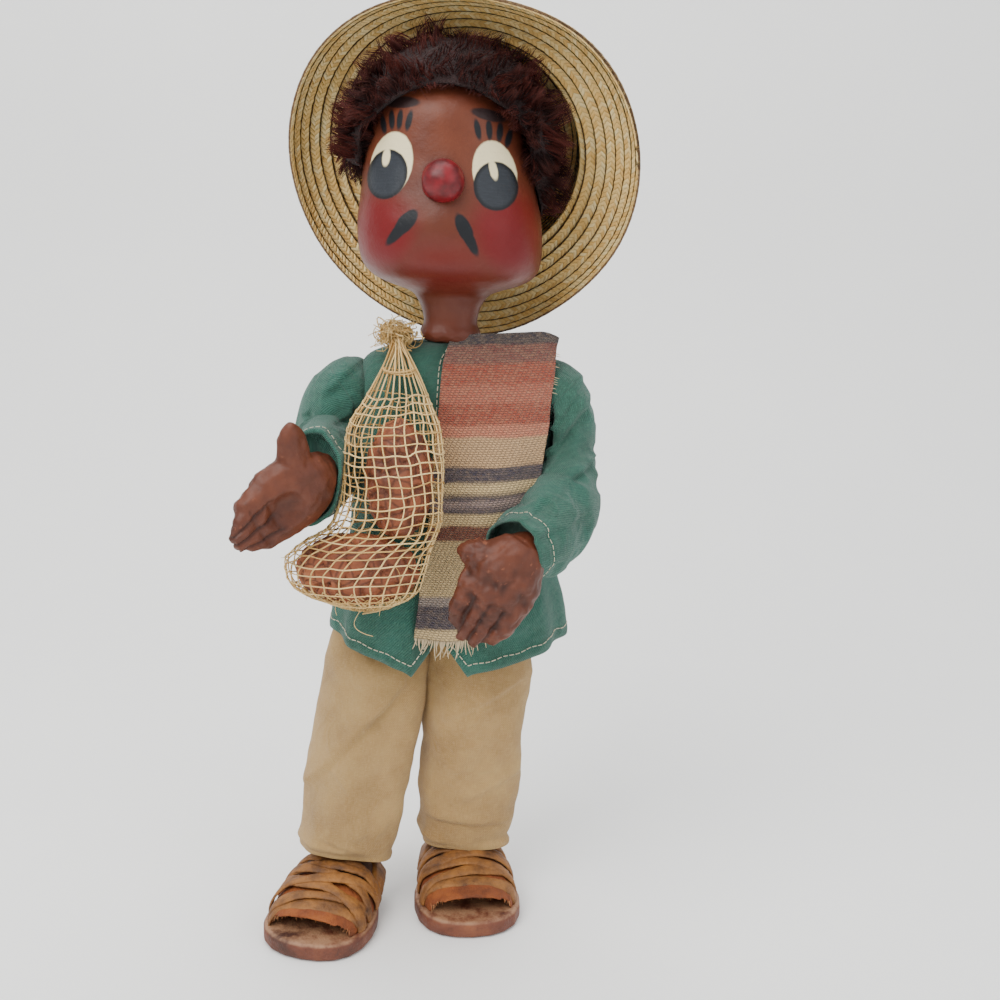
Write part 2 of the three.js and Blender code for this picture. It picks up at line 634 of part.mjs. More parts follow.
function ankleStrap() {
  const band = block([-60, -4, -STRAP_WIDE / 2], [60, 60, STRAP_WIDE / 2]);
  const slice = turned(band, vector(0, 0, 0), X_AXIS, 12).translate(0, 0, SOLE_THICK + 0.5 * FOOT_HIGH);
  const outside = upperForm(STRAP_THICK + GAP);
  return carve(outside, { cut: [upperForm(GAP), belowFoot], keep: [slice] });
}

const STRAP_LEAN = { right: [14, -20], left: [-4, 12] };

function addLeg(side) {
  const leg = LEGS[side];
  const group = jointGroup(doll, leg.hip);
  const shoeForm = upperForm(2 * STRAP_THICK + 3 * GAP);
  shoeForm.rotateZ(-radians(leg.out)).translate(leg.foot.x, leg.foot.y, 0);
  const inside = legForm(leg, { grow: -TROUSER_WALL, beyond: 0.1 });
  const trousers = carve(legForm(leg, { steps: 2, creased: true }), { cut: [inside, shoeForm] });
  const core = legForm(leg, { grow: -TROUSER_WALL - 2 * GAP, sides: 12 });
  const stuffing = carve(core, { cut: [shoeForm] });
  addPiece(group, `${side}_trouser_leg`, trousers, FINISH.cream);
  addPiece(group, `${side}_leg_stuffing`, stuffing, FINISH.stuffing);
  const shoe = new THREE.Group();
  shoe.position.copy(leg.foot).sub(leg.hip);
  shoe.rotation.z = -radians(leg.out);
  group.add(shoe);
  const [toeLean, instepLean] = STRAP_LEAN[side];
  addPiece(shoe, `${side}_sole`, sole(), FINISH.sole);
  addPiece(shoe, `${side}_foot`, footBlock(), FINISH.stuffing);
  addPiece(shoe, `${side}_vamp`, vamp(), FINISH.leather);
  addPiece(shoe, `${side}_toe_strap`, strap(0, -0.55 * TOE_REACH, toeLean), FINISH.leather);
  addPiece(shoe, `${side}_instep_strap`, strap(1, -0.36 * TOE_REACH, instepLean), FINISH.leather);
  addPiece(shoe, `${side}_ankle_strap`, ankleStrap(), FINISH.leather);
}
addLeg('right');
addLeg('left');

// Arms: the sleeves are stuffed to the elbow, and each hand's wrist is held in its cuff.

function armAt({ side, wide, out, upper, bend, forearm, wristAt, ...rest }) {
  const shoulder = vector(TORSO_X + side * (SIDE + GAP + out - wide), 0, SHOULDER_Z);
  const elbow = shoulder.clone().add(vector(bend.x, bend.y, -upper));
  const cuff = elbow.clone().add(forearm);
  const wrist = cuff.clone().add(wristAt);
  return { side, wide, shoulder, elbow, cuff, wrist, palm: side, ...rest };
}

const ARMS = {
  right: armAt({
    side: -1,
    wide: RIGHT_ARM_WIDE,
    out: RIGHT_ARM_OUT,
    upper: RIGHT_UPPER_ARM,
    bend: vector(2, -2, 0),
    forearm: vector(-0.08, -0.97, -0.12).setLength(RIGHT_FOREARM),
    cuffWide: 0.72 * RIGHT_CUFF,
    cuffHigh: RIGHT_CUFF,
    wristAt: vector(1.5, -3, 1),
    reach: vector(-29, -20, -22),
    thumb: vector(-0.1, -0.25, 1),
    thumbTip: [-1, 1.7 * HAND_WIDE],
    gathered: 0.5,
  }),
  left: armAt({
    side: 1,
    wide: LEFT_ARM_WIDE,
    out: LEFT_ARM_OUT,
    upper: LEFT_UPPER_ARM,
    bend: vector(3, -10, 0),
    forearm: vector(-0.56, -0.82, -0.05).setLength(LEFT_FOREARM),
    cuffWide: LEFT_CUFF,
    cuffHigh: LEFT_CUFF,
    wristAt: vector(1.5, -5, -1),
    reach: vector(-17, -4, -33),
    thumb: vector(-0.9, 0, 0.42),
    thumbTip: [9, 1.35 * HAND_WIDE],
    gathered: 0.8,
  }),
};

const sleeveCreases = (turn, share) => SLEEVE_CREASE * (Math.sin(turn + 17 * share) ** 2 - 1) * share;

function upperArmForm({ side, wide, shoulder, elbow }, grow = 0) {
  const round = side < 0 ? 0.95 : 1.25;
  const top = shoulder.z;
  const low = elbow.z;
  return limb([
    [shoulder.x - 2.5 * side, 0, top + 12.5, 0.45 * wide, 0.4 * ARM_DEEP],
    [shoulder.x - side, 0, top + 7, 0.86 * wide, 0.8 * ARM_DEEP],
    [shoulder.x, 0, top - 6, wide, ARM_DEEP],
    [elbow.x, 0.6 * elbow.y, 0.4 * top + 0.6 * low, 1.05 * wide, ARM_DEEP],
    [elbow.x, elbow.y, low, round * wide, 0.94 * ARM_DEEP],
    [elbow.x, elbow.y, low - 0.62 * ARM_DEEP, 0.82 * round * wide, 0.68 * ARM_DEEP],
    [elbow.x, elbow.y, low - 0.88 * ARM_DEEP, 0.3 * round * wide, 0.25 * ARM_DEEP],
  ], { sides: 14, grow, folds: sleeveCreases });
}

function forearmForm({ elbow, cuff, cuffWide, cuffHigh }, grow = 0, beyond = 0) {
  const at = (share, size) => {
    const middle = elbow.clone().lerp(cuff, share);
    return [middle.x, middle.y, middle.z, size * cuffWide, size * cuffHigh];
  };
  return limb([at(0.1, 0.6), at(0.3, 0.86), at(0.55, 0.9), at(0.8, 0.93), at(1 + beyond, 1)],
    { sides: 14, grow, front: Z_AXIS, folds: sleeveCreases });
}

// A moulded hand: wrist stub held in the cuff, cupped palm, four fused fingers and a thumb.
// Along the hand is X, the thumb's side is Y, and palm says whether the palm faces +Z or -Z.
function handForm({ elbow, cuff, wrist, reach, thumb, thumbTip, gathered, palm }, grow = 0) {
  const [long, wide, thick, r] = [HAND_LONG, HAND_WIDE, HAND_THICK, FINGER_RADIUS];
  const form = (stations, sides) => limb(stations, { sides, steps: 1, grow, front: Z_AXIS });
  const palmForm = form([
    [-0.14 * long, 0, 0, 0.5 * wide, 0.8 * thick], [0, 0, 0, 0.78 * wide, 1.1 * thick],
    [0.18 * long, 0, 0, 0.96 * wide, 1.15 * thick], [0.42 * long, 0, 0, wide, thick],
    [0.62 * long, 0, palm, 0.88 * wide, 0.75 * thick], [0.78 * long, 0, 2 * palm, 0.6 * wide, 0.45 * thick],
  ], 12);
  const fingers = [-1.5, -0.5, 0.5, 1.5].map((place) => {
    const y = place * 1.45 * r;
    const tip = (1 - 0.05 * place * place) * long;
    const closing = (1 + gathered) / 2;
    return form([
      [0.45 * long, y, 0, r, r], [0.7 * long, closing * y, palm, r, 0.95 * r],
      [tip - r, gathered * y, 3 * palm, 0.9 * r, 0.85 * r],
      [tip, gathered * y, 4.5 * palm, 0.5 * r, 0.45 * r],
    ], 8);
  });
  const [tipX, tipY] = thumbTip;
  const thumbForm = form([
    [0.14 * long, 0.3 * wide, 0, 1.5 * r, 1.2 * r],
    [0.07 * long + tipX / 2, 0.4 * wide + tipY / 2.6, palm, 1.35 * r, 1.1 * r],
    [0.02 * long + 0.86 * tipX, 0.86 * tipY, 2 * palm, 0.95 * r, 0.8 * r],
    [tipX, tipY, 3 * palm, 0.35 * r, 0.35 * r],
  ], 8);
  const hollow = ball([0.46 * long, 0, palm * (thick + 1.5)], [0.26 * long, 0.56 * wide, 6], 10);
  const shape = carve(palmForm, { add: [...fingers, thumbForm], cut: grow > 0 ? [] : [hollow] });
  const along = reach.clone().normalize();
  const away = vector().crossVectors(along, thumb).normalize();
  const across = vector().crossVectors(away, along);
  shape.applyMatrix4(new THREE.Matrix4().makeBasis(along, across, away).setPosition(wrist));
  const inCuff = cuff.clone().sub(elbow).normalize();
  const stub = [-18, -6, 0].map((back) => wrist.clone().addScaledVector(inCuff, back).toArray());
  const stations = stub.map((point) => [...point, WRIST_RADIUS, WRIST_RADIUS]);
  return carve(shape, { add: [limb(stations, { sides: 12, steps: 1, grow, front: Z_AXIS })] });
}

const ELBOW = {
  right: { axis: vector(-1, 0, 0), turn: RIGHT_ELBOW_TURN },
  left: { axis: vector(0, 0, 1), turn: LEFT_ELBOW_TURN },
};

function addArm(name) {
  const arm = ARMS[name];
  const { axis, turn } = ELBOW[name];
  const angles = [0, turn / 2, turn];
  const upperGroup = jointGroup(doll, arm.shoulder);
  const lowerGroup = jointGroup(upperGroup, arm.elbow);
  const upper = carve(upperArmForm(arm), { cut: [sideBlock(arm.side), shoulderWire(GAP)] });
  const chest = arm.side > 0 ? serapeForm(SERAPE_THICK + RUNNING_GAP) : torsoForm(RUNNING_GAP);
  const inTheWay = [upperArmForm(arm, RUNNING_GAP), chest];
  const sleeveCut = inTheWay.flatMap((form) => sweep(form, arm.elbow, axis, angles));
  if (arm.side < 0) sleeveCut.push(sideBlock(arm.side));
  const sleeve = forearmForm(arm);
  const cuffSpace = forearmForm(arm, -SLEEVE_WALL, 0.1);
  const core = forearmForm(arm, -SLEEVE_WALL - GAP);
  const along = arm.cuff.clone().sub(arm.elbow).normalize();
  const wristEnd = pastPlane(arm.wrist.clone().addScaledVector(along, -18 - GAP), along);
  const hand = handForm(arm);
  addPiece(upperGroup, `${name}_upper_sleeve`, upper, FINISH.shirt);
  const lower = carve(sleeve, { cut: [cuffSpace, ...sleeveCut, handForm(arm, GAP)] });
  const stuffing = carve(core, { cut: [wristEnd, ...sleeveCut] });
  addPiece(lowerGroup, `${name}_lower_sleeve`, lower, FINISH.shirt);
  addPiece(lowerGroup, `${name}_forearm_stuffing`, stuffing, FINISH.stuffing);
  addPiece(lowerGroup, `${name}_hand`, hand, FINISH.skin);
  return [forearmForm(arm, 2 * RUNNING_GAP), handForm(arm, 2 * RUNNING_GAP)];
}

// The half space beside the chest, which an arm keeps out of.
function sideBlock(side) {
  const plane = TORSO_X + side * (SIDE + GAP);
  return side < 0
    ? block([plane, -90, -20], [90, 90, 400])
    : block([-90, -90, -20], [plane, 90, 400]);
}

// A large block on the far side of a plane.
function pastPlane(point, normal) {
  const half = block([-60, -60, 0], [60, 60, 120]);
  const aim = new THREE.Quaternion().setFromUnitVectors(vector(0, 0, 1), normal);
  return half.applyQuaternion(aim).translate(...point.toArray());
}

const rightArmForms = addArm('right');
addArm('left');

// Net bag: it hangs from a knot on the right shoulder, drawn in at a tie, with wares in it.

function bagForm(grow = 0, aboveTie = 0) {
  const { x, y, z } = KNOT_PLACE;
  const [wide, deep, long] = [BAG_WIDE, BAG_DEEP, BAG_LONG];
  return limb([
    [x - 10, y - 31, z - long, 0.35 * wide, 0.35 * deep],
    [x - 13, y - 31, z - 0.93 * long, 0.8 * wide, 0.85 * deep],
    [x - 14, y - 31, z - 0.81 * long, 0.94 * wide, deep],
    [x, y - 31, z - 0.66 * long, 0.68 * wide, deep],
    [x + 1, y - 29, z - 0.45 * long, 0.64 * wide, 0.95 * deep],
    [x + 1, y - 24, z - 0.24 * long, 0.44 * wide, 0.7 * deep],
    [x + 1, y - 16, z - 0.11 * long, 7.5, 6],
    [x, y - 3, z + aboveTie, 4.5, 4],
  ], { sides: 16, steps: 1, grow, level: true });
}

function addBag() {
  const group = jointGroup(doll, KNOT_PLACE);
  const { x, y, z } = KNOT_PLACE;
  const angles = [0, -BAG_SWING / 3, -BAG_SWING / 1.5, -BAG_SWING];
  const armCuts = rightArmForms.flatMap((form) => sweep(form, KNOT_PLACE, X_AXIS, angles));
  const besideArm = block([-120, -120, z - 0.7 * BAG_LONG], [TORSO_X - SIDE + GAP, 60, z + 60]);
  const chest = [torsoForm(RUNNING_GAP), serapeForm(SERAPE_THICK + RUNNING_GAP)];
  const outside = carve(bagForm(), { cut: [...chest, ...armCuts, besideArm] });
  const clear = NET_THICK + 2 * GAP;
  const inner = (grow, up) => carve(bagForm(-grow, up), {
    cut: [
      torsoForm(RUNNING_GAP + grow), serapeForm(SERAPE_THICK + RUNNING_GAP + grow),
      block([-120, -120, z - 0.7 * BAG_LONG - grow], [TORSO_X - SIDE + GAP + grow, 60, z + 60]),
    ],
  });
  const space = inner(clear, 0);
  addPiece(group, 'net_bag', carve(outside, { cut: [inner(NET_THICK, 9)] }), FINISH.net);
  const upper = (grow) => {
    return ball([x + 3, y - 29, z - 0.5 * BAG_LONG], UPPER_WARES.map((half) => half + grow), 10);
  };
  const lower = ball([x - 13, y - 31, z - 0.85 * BAG_LONG], LOWER_WARES, 10);
  addPiece(group, 'upper_wares', carve(upper(0), { keep: [space] }), FINISH.wares);
  addPiece(group, 'lower_wares', carve(lower, { keep: [space], cut: [upper(GAP)] }), FINISH.wares);
  const tieZ = z - 0.11 * BAG_LONG;
  const tieSlice = block([-90, -90, tieZ - TIE_WIDE / 2], [90, 90, tieZ + TIE_WIDE / 2]);
  const tie = carve(bagForm(TIE_THICK + GAP), { cut: [bagForm(GAP)], keep: [tieSlice] });
  addPiece(group, 'bag_tie', tie, FINISH.net);
  const knot = ball([x, y, z + 1.5], [7, 6.5, 6], 10);
  const knotCuts = sweep(torsoForm(GAP), KNOT_PLACE, X_AXIS, angles);
  const knotCut = [...knotCuts, bagForm(GAP), neckForm(RUNNING_GAP)];
  addPiece(group, 'bag_knot', carve(knot, { cut: knotCut }), FINISH.net);
}
addBag();

const whole = new THREE.Group();
const box = new THREE.Box3().setFromObject(doll);
doll.position.set(-(box.min.x + box.max.x) / 2, -(box.min.y + box.max.y) / 2, -box.min.z);
whole.add(doll);
export default whole;
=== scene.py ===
import json
import math

import bmesh
import bpy
import numpy as np
from mathutils import Matrix, Vector, noise
from mathutils.bvhtree import BVHTree


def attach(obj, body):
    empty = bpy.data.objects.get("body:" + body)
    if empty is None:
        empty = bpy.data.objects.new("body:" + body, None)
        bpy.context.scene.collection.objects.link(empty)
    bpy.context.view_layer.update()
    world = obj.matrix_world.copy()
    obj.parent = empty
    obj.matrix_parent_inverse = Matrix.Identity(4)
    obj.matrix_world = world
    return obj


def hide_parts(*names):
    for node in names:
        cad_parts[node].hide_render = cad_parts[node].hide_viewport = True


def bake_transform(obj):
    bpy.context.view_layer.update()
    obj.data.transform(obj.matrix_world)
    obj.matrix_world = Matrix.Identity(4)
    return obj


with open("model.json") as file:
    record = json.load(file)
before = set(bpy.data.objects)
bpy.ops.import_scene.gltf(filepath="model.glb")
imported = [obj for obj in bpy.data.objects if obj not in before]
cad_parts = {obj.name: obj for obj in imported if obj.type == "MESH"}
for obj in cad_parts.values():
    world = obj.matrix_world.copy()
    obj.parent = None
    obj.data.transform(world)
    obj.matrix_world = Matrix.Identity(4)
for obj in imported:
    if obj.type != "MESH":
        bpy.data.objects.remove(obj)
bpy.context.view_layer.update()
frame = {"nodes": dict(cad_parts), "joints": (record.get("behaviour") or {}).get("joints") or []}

bl_info = {
    "name": "Cloth Folk Doll",
    "version": (1, 0, 0),
    "blender": (4, 5, 0),
    "location": "View3D > Sidebar > Folk Doll",
    "description": "Dresses a packed folk doll: painted head, fur, straw hat, clothes, net bag and sandals",
    "category": "Object",
}

JOINTS = {joint["name"]: joint for joint in frame["joints"]}
NECK = (-2.0, -7.0, 258.0)  # the neck's pivot in the doll's own millimetres
ORIGIN = Vector(JOINTS["head_turn"]["pos_m"]) - Vector(NECK) * 0.001
NOISE_STEP = Vector((31.4, 17.2, 53.9))


def place(points):
    """Points in the doll's millimetres, as metres in the row's frame."""
    return np.asarray(points, float) * 0.001 + np.array(ORIGIN)


def measure(point):
    """A point of the row's frame, in the doll's millimetres."""
    return (np.asarray(point, float) - np.array(ORIGIN)) * 1000


def srgb(red, green, blue):
    """A colour read from 0 to 255, as linear red, green, blue and alpha."""
    return tuple(((value / 255 + 0.055) / 1.055) ** 2.4 for value in (red, green, blue)) + (1.0,)


# Curves and surfaces


def curve(rows, count):
    """count + 1 rows of numbers on a smooth curve through the rows given."""
    rows = np.array(rows, float)
    padded = np.vstack([2 * rows[0] - rows[1], rows, 2 * rows[-1] - rows[-2]])
    at = np.linspace(0, len(rows) - 1, count + 1)
    first = np.minimum(at.astype(int), len(rows) - 2)
    t = (at - first)[:, None]
    a, b, c, d = (padded[first + k] for k in range(4))
    return 0.5 * (2 * b + (c - a) * t + (2 * a - 5 * b + 4 * c - d) * t**2 + (3 * b - a - 3 * c + d) * t**3)


def unit(vectors):
    """The vectors, each scaled to a length of 1."""
    return vectors / np.maximum(np.linalg.norm(vectors, axis=-1, keepdims=True), 1e-9)


def circle(sides):
    """Even angles round a full turn, in radians."""
    return 2 * math.pi * np.arange(sides) / sides


def run_lengths(line):
    """The length along a line of points, from its start to each of them."""
    return np.concatenate([[0], np.cumsum(np.linalg.norm(np.diff(line, axis=0), axis=1))])


def signed_power(values, power):
    """The power of each value's size, with the value's own sign."""
    return np.sign(values) * np.abs(values) ** power


def loft(stations, sides, count, front=(0, -1, 0), square=2.0, level=False, push=None):
    """Rings round a path through stations (x, y, z, half width, half depth), in millimetres.
    push gives how far the skin stands out at each turn and share of the length."""
    rows = curve(stations, count)
    middle = rows[:, :3]
    along = unit(np.gradient(middle, axis=0))
    if level:
        along = np.tile(np.array([0, 0, np.sign(middle[-1, 2] - middle[0, 2])]), (count + 1, 1))
    across = unit(np.cross(along, np.array(front, float)))
    outward = unit(np.cross(across, along))
    turn = circle(sides)
    share = np.linspace(0, 1, count + 1)
    lift = np.zeros((count + 1, sides))
    if push is not None:
        lift = lift + push(turn[None, :], share[:, None])
    wide = (np.maximum(rows[:, 3:4], 0.2) + lift) * signed_power(np.cos(turn), 2 / square)
    deep = (np.maximum(rows[:, 4:5], 0.2) + lift) * signed_power(np.sin(turn), 2 / square)
    return middle[:, None] + across[:, None] * wide[..., None] + outward[:, None] * deep[..., None]


def ripple(points, scale, size, seed=0):
    """Smooth noise at each point, from -size to size."""
    flat = points.reshape(-1, 3) * scale
    shift = NOISE_STEP * seed
    values = [noise.noise(Vector(point) + shift) for point in flat]
    return size * np.array(values).reshape(points.shape[:-1])


def link(name, data):
    """A new object in the scene."""
    item = bpy.data.objects.new(name, data)
    bpy.context.scene.collection.objects.link(item)
    return item


def new_object(name, vertices, faces, finish):
    """A smooth-shaded piece from points in the doll's millimetres."""
    mesh = bpy.data.meshes.new(name)
    mesh.from_pydata([tuple(v) for v in place(vertices)], [], faces)
    mesh.materials.append(finish)
    mesh.polygons.foreach_set("use_smooth", [True] * len(mesh.polygons))
    mesh.update()
    return link(name, mesh)


def paint_uv(piece, name, corners):
    """A UV layer from one (u, v) for each face corner."""
    layer = piece.data.uv_layers.new(name=name)
    layer.data.foreach_set("uv", np.asarray(corners, float).ravel())


def skin(name, rings, finish, closed=True, caps=(False, False)):
    """A mesh over rows of points, closed round or open, with its lengths in millimetres as UV."""
    rows, sides = rings.shape[:2]
    columns = sides if closed else sides - 1
    faces = []
    for i in range(rows - 1):
        for j in range(columns):
            k = (j + 1) % sides
            faces.append((i * sides + j, i * sides + k, (i + 1) * sides + k, (i + 1) * sides + j))
    wrapped = np.concatenate([rings, rings[:, :1]], axis=1) if closed else rings
    steps_u = np.linalg.norm(np.diff(wrapped, axis=1), axis=2).max(axis=0)
    steps_v = np.linalg.norm(np.diff(rings, axis=0), axis=2).mean(axis=1)
    u = np.concatenate([[0], np.cumsum(steps_u)])
    v = np.concatenate([[0], np.cumsum(steps_v)])
    corners = []
    for i in range(rows - 1):
        for j in range(columns):
            corners += [(u[j], v[i]), (u[j + 1], v[i]), (u[j + 1], v[i + 1]), (u[j], v[i + 1])]
    vertices = rings.reshape(-1, 3)
    for end, index in ((0, 0), (1, rows - 1)):
        if caps[end]:
            ring = tuple(range(index * sides, index * sides + sides))
            faces.append(ring[::-1] if end == 0 else ring)
            corners += [(u[j], v[index]) for j in (range(sides)[::-1] if end == 0 else range(sides))]
    piece = new_object(name, vertices, faces, finish)
    paint_uv(piece, "cloth", corners)
    return piece


def strands(name, paths, radii, finish, sides=4, lots=None):
    """Many thin tapered tubes in one mesh. UV: a lot for each strand, and the share along it."""
    vertices, faces, corners = [], [], []
    start = 0
    turn = circle(sides)
    for number, (path, radius) in enumerate(zip(paths, radii)):
        path = np.asarray(path, float)
        size = np.broadcast_to(np.asarray(radius, float), (len(path),))
        along = unit(np.gradient(path, axis=0))
        guide = np.array([0.31, 0.2, 0.93]) if abs(along[0, 2]) < 0.9 else np.array([1.0, 0.1, 0])
        across = unit(np.cross(along, guide))
        other = np.cross(along, across)
        ring = (path[:, None] + across[:, None] * (np.cos(turn)[None] * size[:, None])[..., None]
                + other[:, None] * (np.sin(turn)[None] * size[:, None])[..., None])
        vertices.append(ring.reshape(-1, 3))
        lot = (number * 0.61803) % 1 if lots is None else lots[number]
        share = np.linspace(0, 1, len(path))
        for i in range(len(path) - 1):
            low, high = start + i * sides, start + (i + 1) * sides
            for j in range(sides):
                k = (j + 1) % sides
                faces.append((low + j, high + j, high + k, low + k))
                corners += [(lot, share[i]), (lot, share[i + 1]), (lot, share[i + 1]), (lot, share[i])]
        first = tuple(range(start, start + sides))
        start += len(path) * sides
        faces += [first, tuple(range(start - sides, start))[::-1]]
        corners += [(lot, 0)] * sides + [(lot, 1)] * sides
    piece = new_object(name, np.vstack(vertices), faces, finish)
    paint_uv(piece, "strand", corners)
    return piece


def moulded(name, node, finish, voxel, rounds, swell=0.0):
    """A smooth casting of a CAD node: copied, remeshed fine and smoothed."""
    piece = link(name, frame["nodes"][node].data.copy())
    if swell:
        grow = piece.modifiers.new("swell", "DISPLACE")
        grow.strength = swell * 0.001
        grow.mid_level = 0
    remesh = piece.modifiers.new("voxels", "REMESH")
    remesh.mode = "VOXEL"
    remesh.voxel_size = voxel * 0.001
    smooth = piece.modifiers.new("smooth", "SMOOTH")
    smooth.factor = 0.5
    smooth.iterations = rounds
    mesh = bpy.data.meshes.new_from_object(piece.evaluated_get(bpy.context.evaluated_depsgraph_get()))
    piece.modifiers.clear()
    piece.data = mesh
    mesh.materials.clear()
    mesh.materials.append(finish)
    mesh.polygons.foreach_set("use_smooth", [True] * len(mesh.polygons))
    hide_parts(node)
    return piece


def move_vertices(piece, change):
    """change takes all vertices in the doll's millimetres, with their normals, and gives new ones."""
    mesh = piece.data
    flat = np.empty(len(mesh.vertices) * 3)
    mesh.vertices.foreach_get("co", flat)
    normals = np.empty_like(flat)
    mesh.vertices.foreach_get("normal", normals)
    moved = change(measure(flat.reshape(-1, 3)), normals.reshape(-1, 3))
    mesh.vertices.foreach_set("co", place(moved).ravel())
    mesh.update()
    return piece


def tree_of(node):
    """A CAD node's faces, for finding the nearest point or where a ray hits."""
    mesh = frame["nodes"][node].data
    return BVHTree.FromPolygons([v.co for v in mesh.vertices], [tuple(p.vertices) for p in mesh.polygons])


# Shader maths


class Channel:
    """A node's output socket. Arithmetic on it adds Math nodes to its material."""

    def __init__(self, finish, link):
        self.finish = finish
        self.link = link

    def math(self, operation, *others):
        values = dict(enumerate((self, *others)))
        return self.finish.node("ShaderNodeMath", {"operation": operation}, values)

    def __add__(self, other):
        return self.math("ADD", other)

    __radd__ = __add__

    def __mul__(self, other):
        return self.math("MULTIPLY", other)

    __rmul__ = __mul__

    def __sub__(self, other):
        return self.math("SUBTRACT", other)

    def __rsub__(self, other):
        return (self * -1.0) + other

    def __truediv__(self, other):
        return self.math("DIVIDE", other)

    def __pow__(self, other):
        return self.math("POWER", other)

    def smooth(self, low, high):
        """0 below low, 1 above high and an even curve between; low may be the larger."""
        ends = (low, high, 0.0, 1.0) if low < high else (high, low, 1.0, 0.0)
        values = dict(enumerate((self, *ends)))
        return self.finish.node("ShaderNodeMapRange", {"interpolation_type": "SMOOTHSTEP"}, values)

    def wave(self, period):
        """A sine from -1 to 1 that repeats every period."""
        return (self * (2 * math.pi / period)).math("SINE")

    def saw(self, period):
        """From 0 to 1 and over again, every period."""
        return (self / period).math("FRACT")


class Finish:
    """One material. Its node method adds any node; the rest are short forms of it."""

    def __init__(self, name):
        self.material = bpy.data.materials.new(name)
        self.material.use_nodes = True
        self.tree = self.material.node_tree
        self.shader = next(n for n in self.tree.nodes if n.type == "BSDF_PRINCIPLED")

    def node(self, kind, settings=None, values=None, output=0):
        """Adds a node and gives one of its outputs, or all of them for None."""
        made = self.tree.nodes.new(kind)
        for key, value in (settings or {}).items():
            if key == "stops":
                self.set_stops(made.color_ramp, value)
            else:
                setattr(made, key, value)
        for key, value in (values or {}).items():
            self.fill(made.inputs[key], value)
        if output is None:
            return [Channel(self, socket) for socket in made.outputs]
        return Channel(self, made.outputs[output])

    def fill(self, socket, value):
        """Links a channel to a socket, or sets it to a number, colour or vector."""
        if isinstance(value, Channel):
            self.tree.links.new(value.link, socket)
        elif hasattr(value, "__len__") and hasattr(socket.default_value, "__len__"):
            socket.default_value = tuple(value)[: len(socket.default_value)]
        else:
            socket.default_value = value

    @staticmethod
    def set_stops(ramp, stops):
        while len(ramp.elements) < len(stops):
            ramp.elements.new(1.0)
        for element, (position, color) in zip(ramp.elements, stops):
            element.position = position
            element.color = color

    def at(self):
        """The point on the piece, in the doll's metres."""
        point = self.node("ShaderNodeTexCoord", output="Object")
        return self.node("ShaderNodeVectorMath", {"operation": "SUBTRACT"}, {0: point, 1: tuple(ORIGIN)})

    def uv(self, layer):
        """The two coordinates of a UV layer."""
        return self.split(self.node("ShaderNodeUVMap", {"uv_map": layer}))[:2]

    def split(self, vector):
        return self.node("ShaderNodeSeparateXYZ", values={0: vector}, output=None)

    def join(self, x, y, z=0.0):
        return self.node("ShaderNodeCombineXYZ", values={0: x, 1: y, 2: z})

    def noise(self, vector, scale, detail=2.0, roughness=0.5, distortion=0.0):
        values = {"Vector": vector, "Scale": scale, "Detail": detail, "Roughness": roughness,
                  "Distortion": distortion}
        return self.node("ShaderNodeTexNoise", values=values)

    def random(self, *values):
        """A random number for each whole value, or pair of whole values."""
        inputs = {"W": values[0]} if len(values) == 1 else {"Vector": self.join(*values)}
        return self.node("ShaderNodeTexWhiteNoise", {"noise_dimensions": f"{len(values)}D"}, inputs)

    def cells(self, vector, scale, feature="F1"):
        values = {"Vector": vector, "Scale": scale}
        return self.node("ShaderNodeTexVoronoi", {"feature": feature}, values, "Distance")

    def mix(self, factor, first, second):
        return self.node("ShaderNodeMix", {"data_type": "RGBA"}, {0: factor, 6: first, 7: second}, 2)

    def ramp(self, factor, stops):
        return self.node("ShaderNodeValToRGB", {"stops": stops}, {0: factor})

    def bump(self, height, distance, strength=1.0, normal=None):
        values = {"Height": height, "Distance": distance, "Strength": strength}
        if normal is not None:
            values["Normal"] = normal
        return self.node("ShaderNodeBump", values=values)

    def set(self, **sockets):
        """Sets or links the shader's sockets and gives the material."""
        for key, value in sockets.items():
            self.fill(self.shader.inputs[key.replace("_", " ").title().replace("Ior", "IOR")], value)
        return self.material


def ellipse(x, z, middle, half, tilt, soft=0.35):
    """1 inside a tilted ellipse given in millimetres and 0 outside, with a brushed edge."""
    angle = math.radians(tilt)
    dx = (x - middle[0]) / half[0]
    dz = (z - middle[1]) / half[1]
    squeeze = half[0] / half[1]
    u = dx * math.cos(angle) - dz * (math.sin(angle) / squeeze)
    v = dx * (math.sin(angle) * squeeze) + dz * math.cos(angle)
    reach = (u * u + v * v).math("SQRT")
    edge = soft / min(half)
    return reach.smooth(1 + edge, 1 - edge)


# Finishes


# The painted face in the doll's millimetres: middle, half size and tilt of each brush mark.
EYES = ((-25.9, 327.9), (8.9, 12.6), 14), ((15.1, 326.0), (8.5, 12.6), -13)
PUPILS = ((-27.4, 324.2), (8.6, 9.7), 18), ((15.7, 321.2), (8.7, 9.4), -8)
EYE_LIGHTS = ((-27.8, 330.8), (1.7, 3.5), 8), ((14.4, 327.4), (1.5, 3.9), -16)
BROWS = ((-22.2, 351.6), (7.4, 2.3), 2), ((11.8, 348.0), (6.8, 2.2), 8)
MOUSTACHE = [((-18.6, 306.0), (3.0, 6.2), 42), ((-20.4, 303.8), (2.2, 8.8), 42),
             ((4.2, 304.4), (2.7, 6.2), -28), ((5.4, 302.2), (2.1, 8.8), -28)]
LASHES = [(middle, (1.25, 3.9), tilt) for middle, tilt in (
    ((-29.6, 343.6), -14), ((-26.0, 345.1), -5), ((-22.6, 345.0), 4), ((-18.8, 344.5), 12),
    ((7.8, 342.1), -14), ((12.2, 342.4), -6), ((16.3, 342.0), 3), ((19.9, 340.2), 12))]


